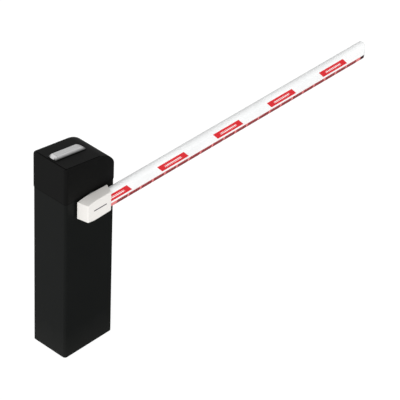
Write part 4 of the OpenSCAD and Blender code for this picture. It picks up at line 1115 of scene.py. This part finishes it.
class BARRIER_OT_lights(bpy.types.Operator):
    """Make the light strip under the boom, its segments with their diodes, and the dark plug at its end"""

    bl_idname = "barrier.lights"
    bl_label = "Light strip"

    def execute(self, context):
        sizes = context.scene.barrier_sizes
        end = TUBE_HIGH.x - sizes.strip_plug
        strip = strip_shell(TUBE_LOW.x, end, sizes.strip_rib)
        make_piece("strip", strip, "boom", "strip_plastic", ["light_strip"], sharp=60.0)
        plug = strip_shell(end + 0.0002, TUBE_HIGH.x, 0.0, 0.0002)
        make_piece("strip_plug", plug, "boom", "strip_plastic", material="strip_end", sharp=60.0)
        segments = join_shells(*(segment_shell(k) for k in range(LIGHT_COUNT)))
        make_piece("segments", segments, "boom", "segment_red", ["light_segments"], sharp=50.0)
        step = SEGMENT_LONG / sizes.diodes
        dome = [(0.0, 0.0016), (-0.0003, 0.0015), (-0.0006, 0.001), (-0.0007, 0.0004)]
        front = BOOM_Y - BOOM_R - MARK_SKIN - SEGMENT_THICK + 0.0001
        domes = [
            turned(dome, (segment_start(k) + step * (d + 0.5), front, STRIP_TOP - 0.0042), 1, 8)
            for k in range(LIGHT_COUNT)
            for d in range(sizes.diodes)
        ]
        make_piece("diodes", join_shells(*domes), "boom", "strip_plastic", sharp=50.0, weighted=False)
        return {"FINISHED"}


class BARRIER_OT_reflectors(bpy.types.Operator):
    """Make the red reflector films along the boom"""

    bl_idname = "barrier.reflectors"
    bl_label = "Reflectors"

    def execute(self, context):
        films = join_shells(*(mark_shell(k) for k in range(MARK_COUNT)))
        make_piece("reflectors", films, "boom", "mark_red", ["reflector_marks"], sharp=50.0)
        return {"FINISHED"}


class BARRIER_OT_spring(bpy.types.Operator):
    """Make the balance spring: its coil, the plugs screwed into it and the eye on the lever's pin"""

    bl_idname = "barrier.spring"
    bl_label = "Balance spring"

    def execute(self, context):
        sizes = context.scene.barrier_sizes
        wire = sizes.spring_wire / 2
        coil_r, top = SPRING_R - wire, SPRING_TOP
        angle = np.linspace(0, 2 * math.pi * sizes.spring_turns, 14 * sizes.spring_turns + 1)
        out = np.stack([np.cos(angle), np.sin(angle), np.zeros_like(angle)], -1)
        height = np.linspace(SPRING_FOOT + wire, top - wire, len(angle))
        path = out * coil_r + np.insert(np.broadcast_to(PIN[:2], (len(height), 2)), 2, height, axis=1)
        coil = tube(path, wire, out, 8)
        inner = coil_r - wire - 0.0002
        foot = [(SPRING_FOOT, inner - 0.001), (SPRING_FOOT + 0.001, inner)]
        foot += [(SPRING_FOOT + 0.024, inner), (SPRING_FOOT + 0.026, inner - 0.002)]
        head = [(top - 0.028, inner - 0.002), (top - 0.026, inner), (top - 0.001, inner)]
        head += [(top + 0.001, inner - 0.002), (top + 0.006, 0.006), (top + 0.010, wire), (PIN[2] - 0.0100, wire)]
        turn = np.linspace(0, 2 * math.pi, 40, endpoint=False)
        ring = np.stack([np.cos(turn), np.zeros_like(turn), np.sin(turn)], -1) * 0.0103 + np.array(PIN)
        eye = tube(ring, wire, (0.0, 1.0, 0.0), 10, closed=True)
        middle = (PIN[0], PIN[1], 0.0)
        ends = join_shells(turned(foot, middle, 2, 32), turned(head, middle, 2, 32), eye)
        for name, shell, replaced in (("spring_coil", coil, ["balance_spring"]), ("spring_ends", ends, [])):
            piece = make_piece(name, shell, "cabinet", "zinc_steel", replaced, sharp=50.0, weighted=False)
            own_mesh(piece)
        return {"FINISHED"}


class BARRIER_OT_cables(bpy.types.Operator):
    """Make the fixed cables inside the cabinet and the gland where the lamp's cable enters the enclosure"""

    bl_idname = "barrier.cables"
    bl_label = "Cables"

    def execute(self, context):
        motor = [(53, -50, 564), (53, -50, 550), (53, -46, 538), (53, -36, 530)]
        motor += [(53, -20, 528), (53, 0, 528), (53, 14, 528)]
        lamp = [(60, 0, 1004), (64, 6, 990), (90, 40, 975), (118, 66, 950), (130, 72, 900), (131, 72, 800)]
        lamp += [(131, 70, 700), (126, 64, 650), (104, 44, 624), (92, 36, 610), (90, 34, 600), (90, 34, 590)]
        for name, points, radius, side, node in (
            ("motor_lead", motor, 0.004, (1.0, 0.0, 0.0), "motor_cable"),
            ("lamp_lead", lamp, 0.003, (1.0, -1.0, 0.0), "lamp_cable"),
        ):
            lead = tube(smooth_path(np.array(points) / 1000, 16 * len(points)), radius, side, 14)
            make_piece(name, lead, "cabinet", "black_rubber", [node], sharp=50.0, weighted=False)
        nut = [(0.5905, 0.0085), (0.5985, 0.0085), (0.6000, 0.0075), (0.6030, 0.0062), (0.6060, 0.0040)]
        make_piece("cable_gland", turned(nut, (0.090, 0.034, 0.0), 2, 12), "cabinet", "black_rubber", sharp=20.0)
        return {"FINISHED"}


class BARRIER_OT_metalwork(bpy.types.Operator):
    """Break the sharp edges of the cabinet, the door and the drive's plates and machined parts"""

    bl_idname = "barrier.metalwork"
    bl_label = "Metalwork"

    def execute(self, context):
        width = context.scene.barrier_sizes.metal_edge
        for node in MACHINED:
            break_edges(node, width)
        return {"FINISHED"}


class BARRIER_OT_finishes(bpy.types.Operator):
    """Give every node of the frame that still shows its own finish"""

    bl_idname = "barrier.finishes"
    bl_label = "Finishes"

    def execute(self, context):
        for name, node in NODES.items():
            if not node.material_slots:
                node.data.materials.append(None)
            for place in node.material_slots:
                place.material = finish(SLOTS[name])
        return {"FINISHED"}


MACHINED = [
    "rear_door", "cabinet_hinge_leaves", "door_hinge_leaves", "lock_cylinder", "hood_screws", "drive_chassis",
    "rear_bearing_plate", "balance_lever", "spring_anchor", "stop_brackets", "control_enclosure", "control_lid",
    "electronics_plate", "transformer", "boom_hub", "boom_bracket", "release_lever", "main_gear",
    "intermediate_gear", "clamp_fasteners", "limit_switches", "terminal_blocks", "base_plate", "cabinet_shell",
]
STEPS = (
    BARRIER_OT_stage, BARRIER_OT_hood, BARRIER_OT_lamp, BARRIER_OT_cover, BARRIER_OT_boom, BARRIER_OT_lights,
    BARRIER_OT_reflectors, BARRIER_OT_spring, BARRIER_OT_cables, BARRIER_OT_metalwork, BARRIER_OT_finishes,
)


class BARRIER_PT_panel(bpy.types.Panel):
    """The barrier's sizes, colours and steps"""

    bl_idname = "BARRIER_PT_panel"
    bl_label = "Parking Barrier"
    bl_space_type = "VIEW_3D"
    bl_region_type = "UI"
    bl_category = "Barrier"

    def draw(self, context):
        layout = self.layout
        for step in STEPS:
            layout.operator(step.bl_idname)
        for group in (context.scene.barrier_sizes, context.scene.barrier_colours):
            box = layout.box()
            for name in group.bl_rna.properties.keys():
                if name not in ("rna_type", "name"):
                    box.prop(group, name)


CLASSES = (BarrierSizes, BarrierColours, *STEPS, BARRIER_PT_panel)


def register():
    for made in CLASSES:
        bpy.utils.register_class(made)
    bpy.types.Scene.barrier_sizes = bpy.props.PointerProperty(type=BarrierSizes)
    bpy.types.Scene.barrier_colours = bpy.props.PointerProperty(type=BarrierColours)


def unregister():
    del bpy.types.Scene.barrier_sizes
    del bpy.types.Scene.barrier_colours
    for made in reversed(CLASSES):
        bpy.utils.unregister_class(made)


def main():
    """Registers the add-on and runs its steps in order."""
    register()
    for step in STEPS:
        group, name = step.bl_idname.split(".")
        done = getattr(getattr(bpy.ops, group), name)()
        if done != {"FINISHED"}:
            raise RuntimeError(f"the step {step.bl_label} did not finish: {done}")


if __name__ == "__main__":
    main()
